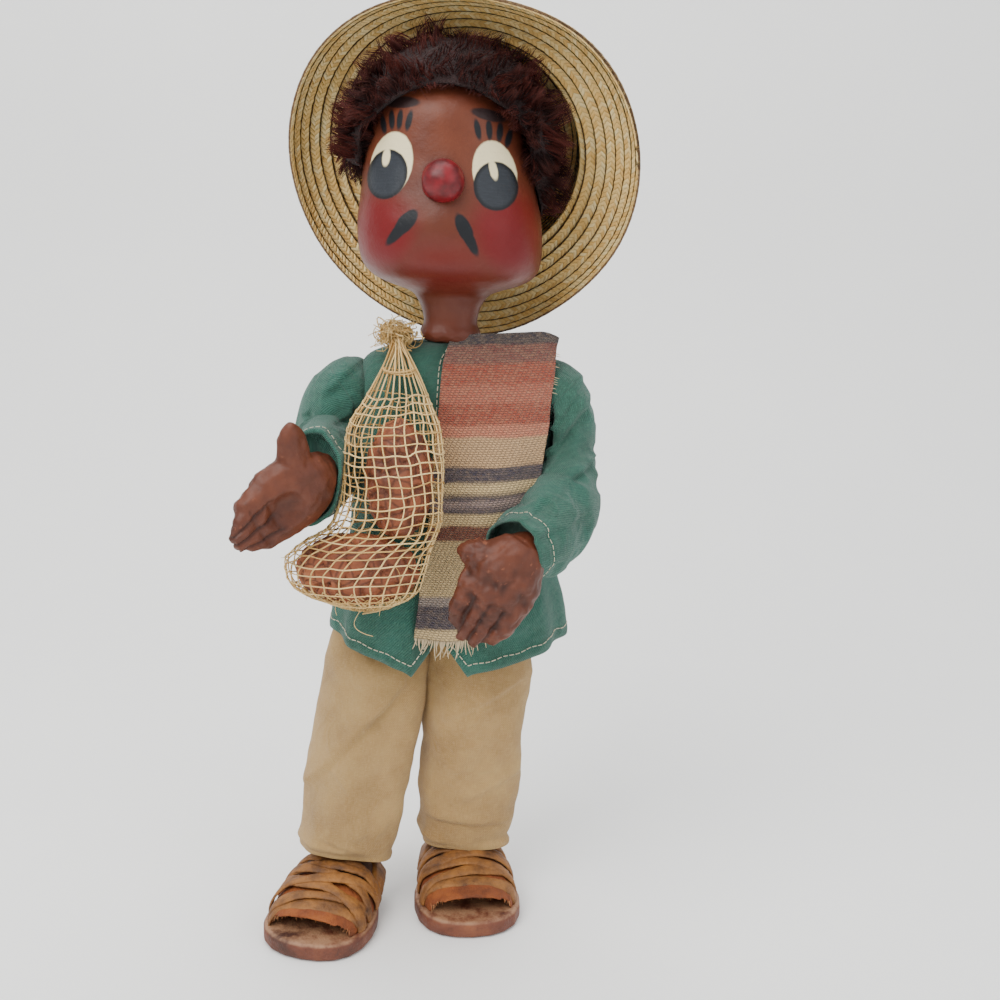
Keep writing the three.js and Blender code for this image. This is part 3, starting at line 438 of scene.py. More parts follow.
def painted_face():
    """Glossy brown composition with airbrushed cheeks and a hand-painted face."""
    finish = Finish("painted composition")
    at = finish.at()
    x, y, z = (axis * 1000 for axis in finish.split(at))
    cloud = finish.noise(at, 55, 4)
    ground = finish.mix(cloud.smooth(0.3, 0.75), srgb(104, 53, 34), srgb(84, 40, 26))
    ground = finish.mix(z.smooth(300, 345), finish.mix(0.45, ground, srgb(80, 35, 25)), ground)
    blush_edge = (cloud - 0.5) * 6
    front = y.smooth(-8, -26)
    left = ellipse(x + blush_edge, z, (-30, 302), (15, 15), 8, 7)
    right = ellipse(x + blush_edge, z, (23, 303), (16, 16), -8, 7)
    jowl = ellipse(x, z + blush_edge, (-4, 290), (22, 10), 0, 6)
    blush = (left.math("MAXIMUM", right) * 0.92).math("MAXIMUM", jowl * 0.5) * front
    color = finish.mix(blush, ground, srgb(102, 13, 17))
    brush_x = x + (finish.noise(at, 420, 2) - 0.5) * 0.45
    brush_z = z + (finish.noise(at, 470, 2) - 0.5) * 0.45

    def paint(marks, soft=0.35):
        """1 where any of the marks is painted on the front of the head."""
        whole, *others = [ellipse(brush_x, brush_z, *mark, soft) for mark in marks]
        for other in others:
            whole = whole.math("MAXIMUM", other)
        return whole * front

    cream, slate = srgb(228, 214, 172), srgb(20, 22, 26)
    white = paint(EYES)
    color = finish.mix(white, color, cream)
    brushed = finish.noise(finish.join(x * 0.25, z * 1.6), 1.0, 3)
    color = finish.mix(white * brushed.smooth(0.5, 0.75) * 0.35, color, srgb(206, 190, 150))
    color = finish.mix(paint(PUPILS), color, slate)
    # Painted sheen: a lighter middle in each pupil, streaked like the brush marks.
    pupil_sheen_marks = [(middle, (half[0] - 1.2, half[1] - 1.3), tilt) for middle, half, tilt in PUPILS]
    color = finish.mix(paint(pupil_sheen_marks, 0.8) * (0.35 + brushed * 0.7), color, srgb(48, 52, 58))
    color = finish.mix(paint(EYE_LIGHTS), color, cream)
    dark = paint(LASHES).math("MAXIMUM", paint(MOUSTACHE)).math("MAXIMUM", paint(BROWS) * 0.85)
    color = finish.mix(dark, color, slate)
    chips = finish.cells(at, 70).smooth(0.13, 0.08) * finish.noise(at, 30, 2).smooth(0.6, 0.66)
    chips = chips * (1 - z.smooth(318, 330)) * (1 - dark)
    color = finish.mix(chips * 0.7, color, srgb(196, 150, 120))
    scuff = finish.noise(at, 130, 5, 0.65)
    bump = finish.bump(scuff + chips * -1.5, 0.0007, 0.5)
    bump = finish.bump(finish.noise(at, 900, 3), 0.0002, 0.25, bump)
    return finish.set(base_color=color, roughness=scuff * 0.26 + 0.3 + dark * 0.1, normal=bump,
                      specular_ior_level=0.28)


def moulded_hands():
    """Brown paint with painted shade in the hollows that build_hands marks, and rubbed."""
    finish = Finish("painted hands")
    at = finish.at()
    cloud = finish.noise(at, 80, 5, 0.6)
    worn = finish.noise(at, 260, 4, 0.6)
    color = finish.ramp(cloud, [(0.25, srgb(62, 29, 18)), (0.5, srgb(87, 43, 26)), (0.8, srgb(108, 56, 35))])
    hollow = finish.node("ShaderNodeAttribute", {"attribute_name": "hollow"}, output="Fac")
    # Painted shade: the grooves, dents and creases that build_hands marks are darkened.
    color = finish.mix(hollow * 0.85, color, srgb(40, 18, 12))
    color = finish.mix(worn.smooth(0.64, 0.74) * 0.4, color, srgb(160, 96, 68))
    bump = finish.bump(cloud * 0.8 + worn * 0.35, 0.0011, 0.7)
    return finish.set(base_color=color, roughness=worn * 0.3 + 0.38, normal=bump, specular_ior_level=0.35)


def red_nose():
    """Dark red gloss paint."""
    finish = Finish("nose paint")
    cloud = finish.noise(finish.at(), 160, 4)
    color = finish.mix(cloud.smooth(0.35, 0.7), srgb(118, 20, 28), srgb(74, 12, 16))
    return finish.set(base_color=color, roughness=cloud * 0.12 + 0.34,
                      normal=finish.bump(cloud, 0.0003, 0.3), specular_ior_level=0.35)


def dark_fur():
    """Red-brown hairs, each of its own shade and lighter towards the tip."""
    finish = Finish("fur")
    lot, share = finish.uv("strand")
    root = finish.ramp(lot, [(0.0, srgb(25, 8, 7)), (0.5, srgb(50, 18, 16)), (1.0, srgb(80, 31, 24))])
    color = finish.mix(share.smooth(0.3, 1.0) * 0.35, root, srgb(104, 52, 42))
    return finish.set(base_color=color, roughness=0.6, specular_ior_level=0.2)


def fur_ground():
    """The matt backing under the fur."""
    finish = Finish("fur backing")
    felt = finish.noise(finish.at(), 700, 3)
    color = finish.mix(felt, srgb(22, 9, 9), srgb(44, 20, 18))
    return finish.set(base_color=color, roughness=0.95, normal=finish.bump(felt, 0.002, 1.0))


PLAIT_STEP = 2.1  # millimetres along the braid from one strand of the plait to the next


def plaited_straw():
    """Flat plait: two leaning sets of strands that pass over and under, and stitched edges darkened with
    painted shade where each row laps the last.
    """
    finish = Finish("straw braid")
    u, v = finish.uv("braid")
    middle = (v - 0.5).math("ABSOLUTE") * 2
    lean = u + middle * 2.2
    strand = lean.saw(PLAIT_STEP)
    ridge = 1 - (strand * 2 - 1).math("ABSOLUTE") ** 2.2
    lot = (lean / PLAIT_STEP).math("FLOOR") + (v.math("GREATER_THAN", 0.5) * 57.3)
    color = finish.ramp(finish.random(lot), [(0.0, srgb(232, 186, 106)), (0.35, srgb(244, 204, 126)),
                                             (0.7, srgb(250, 216, 144)), (1.0, srgb(254, 230, 168))])
    fibre = finish.noise(finish.join(u * 0.5, v * 30), 3.0, 3)
    color = finish.mix(fibre.smooth(0.4, 0.75) * 0.3, color, srgb(200, 146, 74))
    # Painted shade in the narrow gaps between the strands.
    gap_shade = strand.smooth(0.09, 0.0).math("MAXIMUM", strand.smooth(0.94, 1.0))
    color = finish.mix(gap_shade * 0.5, color, srgb(138, 92, 44))
    patch = finish.noise(finish.at(), 24, 3)
    color = finish.mix(patch.smooth(0.48, 0.75) * 0.3, color, srgb(212, 168, 98))
    # Painted shade along both edges of each row, where the rows lap, ragged and heavier in places.
    ragged = finish.noise(finish.join(u * 0.35, v * 2), 1.0, 3)
    heavy = finish.noise(finish.join(u * 0.02, 0.0), 1.0, 2)
    shaded_lap = (middle + (ragged - 0.5) * 0.35 + (heavy - 0.5) * 0.25).smooth(0.7, 0.93)
    color = finish.mix(shaded_lap * 0.92, color, srgb(70, 38, 14))
    height = ridge * 0.5 + fibre * 0.25 - shaded_lap * 1.4
    return finish.set(base_color=color, roughness=fibre * 0.25 + 0.42,
                      normal=finish.bump(height, 0.0009, 0.9))


def plain_weave(name, light, dark, worn, stain, lean=0.0):
    """Woven cotton: threads pass over and under in both directions, in steps when it leans."""
    pitch = 0.5  # millimetres from thread to thread
    finish = Finish(name)
    u, v = finish.uv("cloth")
    at = finish.at()
    slub_u = finish.noise(finish.join(u * 0.25, v * 4.0), 1.0, 2)
    slub_v = finish.noise(finish.join(u * 4.0, v * 0.25), 1.0, 2)
    warp = (u + slub_v * 0.2).wave(pitch * 2)
    weft = (v + slub_u * 0.2).wave(pitch * 2)
    rib = (u + v * 0.8 + slub_u * 0.3).wave(pitch * 2.2)
    thread = warp * weft * (1 - lean) + rib * lean
    cloud = finish.noise(at, 38, 4, 0.55)
    color = finish.mix(cloud.smooth(0.3, 0.72), dark, light)
    color = finish.mix((slub_u * slub_v).smooth(0.16, 0.4) * 0.45, color, worn)
    # Painted light and shade of the weave: the thread crests lighter in the worn colour, the hollows between
    # them darker.
    color = finish.mix(thread.smooth(0.1, 0.9) * 0.22, color, worn)
    color = finish.mix((thread * -1.0).smooth(0.1, 0.9) * 0.2, color, dark)
    spot = finish.noise(at, 21, 3, 0.6, 0.6).smooth(0.62, 0.76)
    color = finish.mix(spot * 0.42, color, stain)
    crease = (finish.noise(at, 55, 3, 0.5, 0.4) - 0.5).math("ABSOLUTE").smooth(0.09, 0.0)
    normal = finish.bump(cloud, 0.0045, 0.5)
    normal = finish.bump(crease, 0.0006, 0.45, normal)
    normal = finish.bump(thread * 0.6 + slub_u * 0.5 + slub_v * 0.5, 0.0003, 0.9, normal)
    return finish.set(base_color=color, roughness=slub_u * 0.1 + 0.81, normal=normal,
                      sheen_weight=0.15, sheen_roughness=0.5)


def cotton_thread(name, tint):
    """Twisted thread, each length of its own shade."""
    finish = Finish(name)
    lot, share = finish.uv("strand")
    twist = (share * 24 + lot * 3).wave(1.0)
    color = finish.mix(lot * 0.5, tint, tuple(value * 0.75 for value in tint[:3]) + (1.0,))
    return finish.set(base_color=color, roughness=0.8, normal=finish.bump(twist, 0.0001, 0.5))


SERAPE_FLAT = (45.0, 131.0)  # the strip's width and length laid flat, in millimetres
RAMP_STOPS = 32  # as many as a colour ramp holds


def wool_stops():
    """The strip's bands of colour from the lower end up, as ramp stops with narrow edges."""
    violet, mauve, rust, brick = srgb(42, 35, 44), srgb(112, 58, 48), srgb(148, 57, 32), srgb(108, 44, 24)
    pink, tan, cream, slate = srgb(186, 108, 80), srgb(190, 152, 108), srgb(210, 182, 130), srgb(50, 44, 60)
    bands = [(0.032, cream), (0.111, slate), (0.143, srgb(148, 134, 126)), (0.334, cream), (0.381, brick),
             (0.423, cream), (0.451, slate), (0.470, srgb(150, 128, 122)), (0.492, slate), (0.524, cream),
             (0.575, slate), (0.67, tan), (0.71, pink), (0.78, rust), (0.84, srgb(164, 82, 58)),
             (0.905, rust), (0.965, mauve), (1.0, violet)]
    stops, low = [], 0.0
    for high, tint in bands:
        edge = min(0.005, (high - low) / 3)
        if high - low < 0.03:
            stops.append((low + edge if low else 0.0, tint))
        else:
            stops += [(low + edge, tint), (high - edge, tint)]
        low = high
    return stops[:RAMP_STOPS]


def striped_wool():
    """Hand-woven wool: weft ribs in bands of colour that run across the strip."""
    finish = Finish("serape wool")
    u, v = finish.uv("cloth")
    wander = finish.noise(finish.join(u * 0.08, v * 0.35), 1.0, 3)
    color = finish.ramp((v + (wander - 0.5) * 3.2) / SERAPE_FLAT[1], wool_stops())
    # Short slanted grains of weft in rows 1 mm high, each row set off by half a grain.
    shift = v.math("FLOOR") * 0.5 + u / 1.8 + v * 0.3
    grain = (shift.saw(1.0) * 2 - 1).math("ABSOLUTE")
    across = (v.saw(1.0) * 2 - 1).math("ABSOLUTE")
    lot = finish.random(shift.math("FLOOR"), v.math("FLOOR"))
    hollow = (grain ** 2.5).math("MAXIMUM", across ** 2.5)
    fuzz = finish.noise(finish.at(), 1500, 3, 0.6)
    heather = finish.noise(finish.join(u * 0.5, v * 1.6), 1.0, 3)
    color = finish.mix(heather.smooth(0.45, 0.75) * 0.16, color, srgb(206, 160, 116))
    color = finish.mix(lot * 0.12, color, srgb(214, 184, 142))
    # Painted shade in the hollows between the grains and their rows.
    color = finish.mix(hollow * 0.36, color, srgb(70, 48, 40))
    color = finish.mix(fuzz.smooth(0.62, 0.8) * 0.16, color, srgb(218, 190, 152))
    height = lot * 0.3 + fuzz * 0.25 - hollow
    return finish.set(base_color=color, roughness=0.93, normal=finish.bump(height, 0.0008, 0.9),
                      sheen_weight=0.15, sheen_roughness=0.6)


def net_string():
    """Pale twisted string, each length of its own shade."""
    finish = Finish("net string")
    lot, share = finish.uv("strand")
    at = finish.at()
    twist = (share * 90 + lot * 7).wave(1.0)
    color = finish.ramp(lot, [(0.0, srgb(190, 148, 84)), (0.5, srgb(220, 184, 118)),
                              (1.0, srgb(238, 208, 148))])
    color = finish.mix(finish.noise(at, 60, 3).smooth(0.4, 0.75) * 0.5, color, srgb(176, 138, 84))
    height = twist * 0.5 + finish.noise(at, 2200, 2)
    return finish.set(base_color=color, roughness=0.72, normal=finish.bump(height, 0.0002, 0.6))


def shrivelled_wares():
    """Brown, shrivelled skin with painted shade in its creases."""
    finish = Finish("wares")
    at = finish.at()
    cloud = finish.noise(at, 45, 4)
    crease = finish.cells(at, 160, "DISTANCE_TO_EDGE")
    color = finish.ramp(cloud, [(0.3, srgb(98, 50, 32)), (0.5, srgb(144, 80, 50)), (0.7, srgb(172, 106, 68))])
    # Painted shade along the creases.
    color = finish.mix(crease.smooth(0.12, 0.0) * 0.6, color, srgb(58, 28, 18))
    height = crease + cloud * 0.6
    return finish.set(base_color=color, roughness=cloud * 0.3 + 0.5, normal=finish.bump(height, 0.0014, 0.8))


def hide(name, light, middle, dark, scale, rough, wax=0.0, insole=None):
    """Leather with pores, rubbed patches and darkened creases, and a scuffed top where there is an insole."""
    finish = Finish(name)
    at = finish.at()
    cloud = finish.noise(at, 60 * scale, 5, 0.6)
    streak = finish.noise(at, 220 * scale, 4, 0.65, 0.6)
    color = finish.ramp(cloud, [(0.28, dark), (0.5, middle), (0.74, light)])
    color = finish.mix(streak.smooth(0.55, 0.75) * 0.5, color, dark)
    if insole is not None:
        top = (finish.split(at)[2] * 1000).smooth(5.9, 6.9)
        rubbed = top * finish.noise(at, 120, 4, 0.65).smooth(0.32, 0.6)
        color = finish.mix(rubbed * 0.75, color, insole)
    height = streak * 0.8 + finish.cells(at, 900) * 0.25 + cloud * 0.5
    return finish.set(base_color=color, roughness=streak * 0.25 + rough - 0.1,
                      normal=finish.bump(height, 0.0009, 0.8), coat_weight=wax, coat_roughness=0.45)


def turned_wood():
    """Plain wood with its grain running up."""
    finish = Finish("dowel wood")
    x, y, z = finish.split(finish.at())
    ring = finish.noise(finish.join(x * 1400, y * 1400, z * 90), 1.0, 3)
    color = finish.mix(ring, srgb(160, 120, 74), srgb(202, 166, 112))
    return finish.set(base_color=color, roughness=ring * 0.2 + 0.5, normal=finish.bump(ring, 0.0002, 0.5))


def drawn_wire():
    """Dull steel wire with fine lines along it."""
    finish = Finish("core wire")
    x, y, z = finish.split(finish.at())
    line = finish.noise(finish.join(x * 60, y * 2500, z * 2500), 1.0, 2)
    color = finish.mix(line, srgb(120, 118, 112), srgb(168, 166, 160))
    return finish.set(base_color=color, metallic=0.9, roughness=line * 0.25 + 0.3)


def studio_ground():
    """A pale, almost even backdrop."""
    finish = Finish("studio ground")
    cloud = finish.noise(finish.node("ShaderNodeTexCoord", output="Object"), 9, 3)
    color = finish.mix(cloud, srgb(238, 238, 237), srgb(243, 243, 241))
    return finish.set(base_color=color, roughness=0.75)


# Pieces: head and hat

NECK_Z = NECK[2]
CHIN_Z = 282.0  # where the neck meets the jaw
HEAD_HIGH = 86.0  # from there to the top of the head
HAT_AXIS = unit(np.array([-0.17, -0.94, -0.29]))  # out of the hat's opening: forward and a little down
HAT_RIM_MIDDLE = np.array([0.0, -2.0, 331.0])
HAT_ACROSS = unit(np.array([-HAT_AXIS[1], HAT_AXIS[0], 0.0]))
HAT_UP = unit(np.cross(HAT_AXIS, HAT_ACROSS))
NOSE_RADIUS = 8.4
# Soft bumps and hollows of the face: middle, spread and height.
HEAD_BULGES = [
    ((-27, -36, 302), (13, 14, 13), 1.3),  # cheeks
    ((21, -36, 303), (13, 14, 13), 1.3),
    ((-5, -42, 306), (10, 9, 9), 1.2),  # upper lip
    ((-5, -38, 287), (10, 10, 6), 1.4),  # chin
    ((-5, -42, 296), (9, 8, 4), -1.0),  # mouth
    ((-5, -40, 348), (24, 12, 9), 0.8),  # brow
    ((-26, -38, 327), (9, 12, 11), -0.5),  # sockets of the eyes
    ((15, -38, 326), (9, 12, 11), -0.5),
]


def bulge(points, middle, spread, size):
    """How far each point is pushed by a soft bump."""
    away = (points - np.array(middle, float)) / np.array(spread, float)
    return size * np.exp(-(away**2).sum(axis=-1))


def build_head():
    """The moulded head with its flaring neck, and the bead that is its nose."""
    x, y, cheek, crown, deep, high = -2, -4, 38.4, 34, 39, HEAD_HIGH
    stations = [
        [-2, -7, NECK_Z + 0.4, 9.5, 9.5],
        [-2, -7, NECK_Z + 1.6, 11.8, 11.8],
        [-2, -7, NECK_Z + 4.4, 12.8, 12.6],
        [-2, -7, NECK_Z + 8.2, 11.4, 11.4],
        [-1.8, -7, NECK_Z + 13, 12.1, 11.7],
        [-1.8, -7, NECK_Z + 17, 13.8, 13.0],
        [-1.8, -6.5, NECK_Z + 20.8, 17.4, 16.0],
        [x + 0.6, y - 1, CHIN_Z + 0.2, 0.72 * cheek, 0.66 * deep],
        [x + 0.2, y - 1, CHIN_Z + 0.05 * high, 0.90 * cheek, 0.86 * deep],
        [x - 0.6, y - 1.5, CHIN_Z + 0.13 * high, 0.985 * cheek, 0.97 * deep],
        [x - 1.3, y - 1.5, CHIN_Z + 0.26 * high, cheek, deep],
        [x - 2.2, y, CHIN_Z + 0.42 * high, 0.5 * (cheek + crown) + 0.4, 0.98 * deep],
        [x - 3.3, y + 2, CHIN_Z + 0.61 * high, crown, 0.95 * deep],
        [x - 3.3, y + 2.5, CHIN_Z + 0.79 * high, 0.9 * crown, 0.89 * deep],
        [x - 3.3, y + 2.5, CHIN_Z + 0.91 * high, 0.73 * crown, 0.72 * deep],
        [x - 3.3, y + 2.5, CHIN_Z + 0.98 * high, 0.42 * crown, 0.42 * deep],
        [x - 3.3, y + 2.5, CHIN_Z + high, 0.06 * crown, 0.06 * deep],
    ]
    rings = loft(stations, 112, 128, square=2.12, level=True)
    outward = unit(rings - rings.mean(axis=1, keepdims=True))
    push = sum(bulge(rings, *row) for row in HEAD_BULGES)
    push += ripple(rings, 0.05, 0.5, 1) + ripple(rings, 0.16, 0.22, 2)
    worn_neck = np.clip((NECK_Z + 7 - rings[..., 2]) / 6, 0, 1)
    push += worn_neck * ripple(rings, 0.4, 0.9, 3)
    head = skin("painted_head", rings + outward * push[..., None], painted_face(), caps=(True, True))
    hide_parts("head_shell")
    return [head, build_nose()]


def build_nose():
    """The nose: a slightly uneven bead."""
    turn = np.linspace(0, math.pi, 25)
    around = circle(32)
    bead = np.stack([
        NOSE_RADIUS * np.sin(turn)[:, None] * np.cos(around)[None],
        -NOSE_RADIUS * np.cos(turn)[:, None] * np.ones(32)[None],
        NOSE_RADIUS * np.sin(turn)[:, None] * np.sin(around)[None],
    ], axis=-1)
    middle = np.array([-4.7, -46.4 + 0.3 * NOSE_RADIUS + 2, 322.0])
    bead = bead * (1 + ripple(bead, 0.2, 0.05, 4))[..., None] + middle
    nose = skin("painted_nose", bead, red_nose())
    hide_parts("nose_bead")
    return nose


def hat_profile():
    """Points from the rim to the crown's button: distance from the axis, and height away from the rim."""
    brim = [(47 + 26 * math.cos(t), 20 * math.sin(t)) for t in np.linspace(0, math.pi / 2, 40)]
    wall = [(47 - 3 * t, 20 + 19.8 * t) for t in np.linspace(0, 1, 12)[1:]]
    dome = [(44 * math.cos(t), 39.8 + 16.2 * math.sin(t)) for t in np.linspace(0, math.pi / 2, 40)[1:]]
    points = np.array(brim + wall + dome)
    return points, run_lengths(points)


def hat_surface(s, turn, points, lengths):
    """The hat's points, and the way out of its skin, at lengths s from the rim and turns round it."""
    def profile(s):
        return np.stack([np.interp(s, lengths, points[:, k]) for k in (0, 1)], -1)

    radius, height = np.moveaxis(profile(s), -1, 0)
    slope = unit(profile(np.clip(s + 0.6, 0, lengths[-1])) - profile(np.clip(s - 0.6, 0, lengths[-1])))
    brim = np.clip((40 - s) / 30, 0, 1)
    high = 1 - 0.105 * brim * np.clip(np.sin(turn), 0, 1) + 0.012 * brim * np.sin(3 * turn + 0.6)
    ring = np.cos(turn)[..., None] * HAT_ACROSS + (np.sin(turn) * high)[..., None] * HAT_UP
    middle = HAT_RIM_MIDDLE + ring * radius[..., None] - HAT_AXIS * height[..., None]
    return middle, ring * slope[..., 1:2] + HAT_AXIS * slope[..., 0:1]


def plait_turns(rows, pitch, points, lengths):
    """Turns of the hat at which the plait has a row of points, 0.79 mm apart where it is wide."""
    per_turn = 300
    count = int(per_turn * (rows + 1))
    keep, last = [], -1.0
    for number, value in enumerate(np.arange(count + 1) / per_turn):
        radius = np.interp(min(value, rows) * pitch, lengths, points[:, 0])
        step = 0.75 * 1.05 / max(radius, 2.0) / (2 * math.pi)
        if value - last >= step or number in (0, count):
            keep.append(value)
            last = value
    return np.array(keep)


def build_hat(settings):
    """One long plait, wound from the rim to the crown and sewn where each row laps the last."""
    points, lengths = hat_profile()
    rows = settings.braid_rows
    pitch = lengths[-1] / rows
    turns = plait_turns(rows, pitch, points, lengths)
    # The plait's cross section: share of its width, and 1 outside or -1 inside.
    edge = [0.02, 0.16, 0.34, 0.5, 0.66, 0.84, 0.98]
    share = np.array([0.0, *edge, 1.0, *edge[::-1]])
    side = np.array([0.0, *[1.0] * len(edge), 0.0, *[-1.0] * len(edge)])
    low = np.clip(turns - 1, 0, None)
    high = np.minimum(turns, rows)
    angle = turns * 2 * math.pi
    radius = np.interp((low[1:] + high[1:]) / 2 * pitch, lengths, points[:, 0])
    running = np.concatenate([[0], np.cumsum(np.diff(angle) * radius)])
    teeth = 0.22 * np.abs((running / PLAIT_STEP) % 1 * 2 - 1) - 0.11
    spread = np.clip(turns[:, None] - 1 + share[None], low[:, None], high[:, None])
    reach = spread * pitch + np.where((share == 0) | (share == 1), 1, 0.4)[None] * teeth[:, None] * 2
    s = np.clip(reach - 0.9 * (share[None] < 0.1), 0, lengths[-1])
    middle, normal = hat_surface(s, angle[:, None] * np.ones_like(s), points, lengths)
    camber = 0.3 * np.sin(share * math.pi)[None]
    shingle = 1.0 * (1 - share)[None] - 0.25
    phase = running[:, None] + np.abs(share - 0.5)[None] * 5
    ridge = 0.12 * np.cos(phase * 2 * math.pi / PLAIT_STEP)
    push = shingle + camber + side[None] * (0.42 + ridge * 0.6)
    slow = np.stack([np.cos(angle), np.sin(angle), turns * 0.15], -1)
    crown = np.clip((s - 34) / 10, 0, 1)
    wobble = ripple(slow, 1.4, 1.3, 8)[:, None] * (1 - 0.6 * crown)
    plait = middle + normal * push[..., None] + normal * wobble[..., None]
    hat = skin("straw_braid_hat", plait, plaited_straw(), caps=(True, True))
    corners = []
    for here, there in zip(running[:-1], running[1:]):
        for v, next_v in zip(share, np.roll(share, -1)):
            corners += [(here, v), (here, next_v), (there, next_v), (there, v)]
    corners += [(0, 0)] * (2 * len(share))
    paint_uv(hat, "braid", corners)
    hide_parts("straw_hat")
    return hat


def hair_weights(middle, normal, area):
    """How likely a hair grows from each triangle: fewer under the hat and behind, more above the brow."""
    below = (middle - HAT_RIM_MIDDLE) @ (-HAT_AXIS)
    from_axis = np.linalg.norm((middle - HAT_RIM_MIDDLE) + HAT_AXIS * below[:, None], axis=1)
    hidden = (below > 14) & (from_axis > 30)
    weight = area * np.where(hidden, 0.12, 1.0) * np.where(below > 24, 0.15, 1.0)
    weight *= np.where(normal[:, 1] < 0.5, 1.0, 0.3)
    weight *= np.where((middle[:, 1] < -10) & (middle[:, 2] < 364), 2.2, 1.0)
    return weight / weight.sum()


def triangles_of(mesh):
    """A mesh's triangles: corners in the doll's millimetres, normals, middles and twice their areas."""
    mesh.calc_loop_triangles()
    corner = np.array([[mesh.vertices[v].co[:] for v in tri.vertices] for tri in mesh.loop_triangles])
    corner = measure(corner.reshape(-1, 3)).reshape(-1, 3, 3)
    cross = np.cross(corner[:, 1] - corner[:, 0], corner[:, 2] - corner[:, 0])
    return corner, unit(cross), corner.mean(axis=1), np.linalg.norm(cross, axis=1)


def free_hair(root, start, steps, rng):
    """A hair's path as it grows by itself, and how near the brow it stands, where hairs are shorter."""
    tuft = np.array([noise.noise(Vector(root * 0.11) + NOISE_STEP * k) for k in range(3)])
    swirl = np.array([noise.noise(Vector(root * 0.3) + NOISE_STEP * (k + 5)) for k in range(3)])
    brow = math.exp(-((root[0] + 5) / 27) ** 2) * (root[1] < -12)
    outward = unit(root - np.array([-3.5, 6, 330]))
    lie = np.array([0.55 * np.sign(root[0] + 3), -0.55, 0.15 - 0.9 * (abs(root[0] + 3) > 30)])
    lie = lie + brow * np.array([0, -0.2, 0.25])
    length = rng.uniform(5, 11) * (0.8 + 0.6 * tuft[0]) * (1 - 0.45 * brow)
    direction = unit(start * 0.75 + outward * 0.35 + lie * 0.55 + tuft * 1.7 + swirl * 1.3
                     + rng.normal(0, 0.14, 3))
    bend = unit(lie + tuft * 1.8 + swirl * 1.2 + rng.normal(0, 0.2, 3)) * 0.5
    bend = bend + np.array([0, -0.1, -0.25 + 0.35 * brow])
    return root - start * 0.6 + direction * length * steps + bend * length * 0.45 * steps**2, brow


def build_hair(settings):
    """A dark fur wig: a smooth backing with tapered hairs standing and lying in tufts."""
    backing = moulded("fur_backing", "fur_wig", fur_ground(), voxel=1.6, rounds=12, swell=-0.8)

    def hairline(points, _):
        """Lifts the backing's front edge to an arch over the forehead."""
        edge = 358.5 - ((points[:, 0] + 5) / 8.2) ** 2
        front = np.clip((-8 - points[:, 1]) / 6, 0, 1)
        lift = np.clip(edge - points[:, 2], 0, 9) * front * (np.abs(points[:, 0] + 5) < 34)
        return points + lift[:, None] * np.array([0, 0.35, 1.0])

    move_vertices(backing, hairline)
    rng = np.random.default_rng(7)
    corner, normal, middle, area = triangles_of(backing.data)
    weight = hair_weights(middle, normal, area)
    tufts = settings.tufts
    tuft_picks = rng.choice(len(corner), tufts, p=weight)
    tuft_roots = middle[tuft_picks]
    lean = rng.normal(0, 0.45, (tufts, 3)) + np.array([0, -0.25, 0.1])
    tuft_tips = tuft_roots + unit(normal[tuft_picks] * 0.8 + lean) * rng.uniform(7, 13.5, tufts)[:, None]
    tuft_lots = rng.normal(0, 0.2, tufts)
    head = tree_of("head_shell")
    steps = np.linspace(0, 1, 6)[:, None]
    taper = np.array([1, 1, 0.9, 0.72, 0.5, 0.15])
    paths, radii, lots = [], [], []
    for pick in rng.choice(len(corner), settings.hairs, p=weight):
        a, b = rng.random(2)
        if a + b > 1:
            a, b = 1 - a, 1 - b
        first, second, third = corner[pick]
        root = first + a * (second - first) + b * (third - first)
        # No hairs on the backing's inside, next to the head.
        _, head_normal, _, distance = head.find_nearest(Vector(place(root)))
        if distance < 0.0012 and normal[pick] @ np.array(head_normal) < -0.2:
            continue
        path, brow = free_hair(root, normal[pick], steps, rng)
        nearest = int(np.argmin(((tuft_roots - root) ** 2).sum(axis=1)))
        pull = 0.62 * steps**1.4 * (1 - 0.6 * brow)
        paths.append(path * (1 - pull) + (tuft_tips[nearest] + rng.normal(0, 0.8, 3)) * pull)
        radii.append(rng.uniform(0.1, 0.19) * taper)
        lots.append(float(np.clip(0.5 + tuft_lots[nearest] + rng.normal(0, 0.16), 0, 1)))
    hair = strands("fur_hair", paths, radii, dark_fur(), sides=3, lots=lots)
    return [backing, hair]


# Pieces: clothes

TORSO = [  # centre x, y, z, half width, half depth of the shirt
    (1, -2, 99, 54, 31), (1, -2, 129, 52, 29), (1, -2, 145.5, 50, 28.5), (1, -2, 163, 45, 27),
    (1, -2, 189, 43.6, 26), (1, -1, 215.5, 43.2, 25), (1, 0, 238, 42.6, 22), (1, 0, 250, 39, 17),
    (2, -2, 255.5, 29, 14), (1, -4, 258.2, 16, 12),
]
COLLAR_Z = 257.9  # the top of the shirt's cloth


def torso_surface(sides, folds):
    """A sampler of the shirt: takes heights, a column for each side, and gives the points there."""
    def push(turn, share):
        loose = np.clip(1 - 1.25 * share, 0, 1) ** 1.2
        wave = np.cos(6 * turn + 1.1 * np.sin(2 * turn)) + 0.5 * np.sin(11 * turn + 4 * share)
        return folds * loose * wave

    rings = loft(TORSO, sides, 150, square=2.5, level=True, push=push)
    heights = rings[:, 0, 2]

    def sample(z):
        columns = [np.stack([np.interp(z[:, j], heights, rings[:, j, k]) for k in (0, 1)], -1)
                   for j in range(sides)]
        return np.concatenate([np.stack(columns, axis=1), z[..., None]], axis=-1)

    return sample


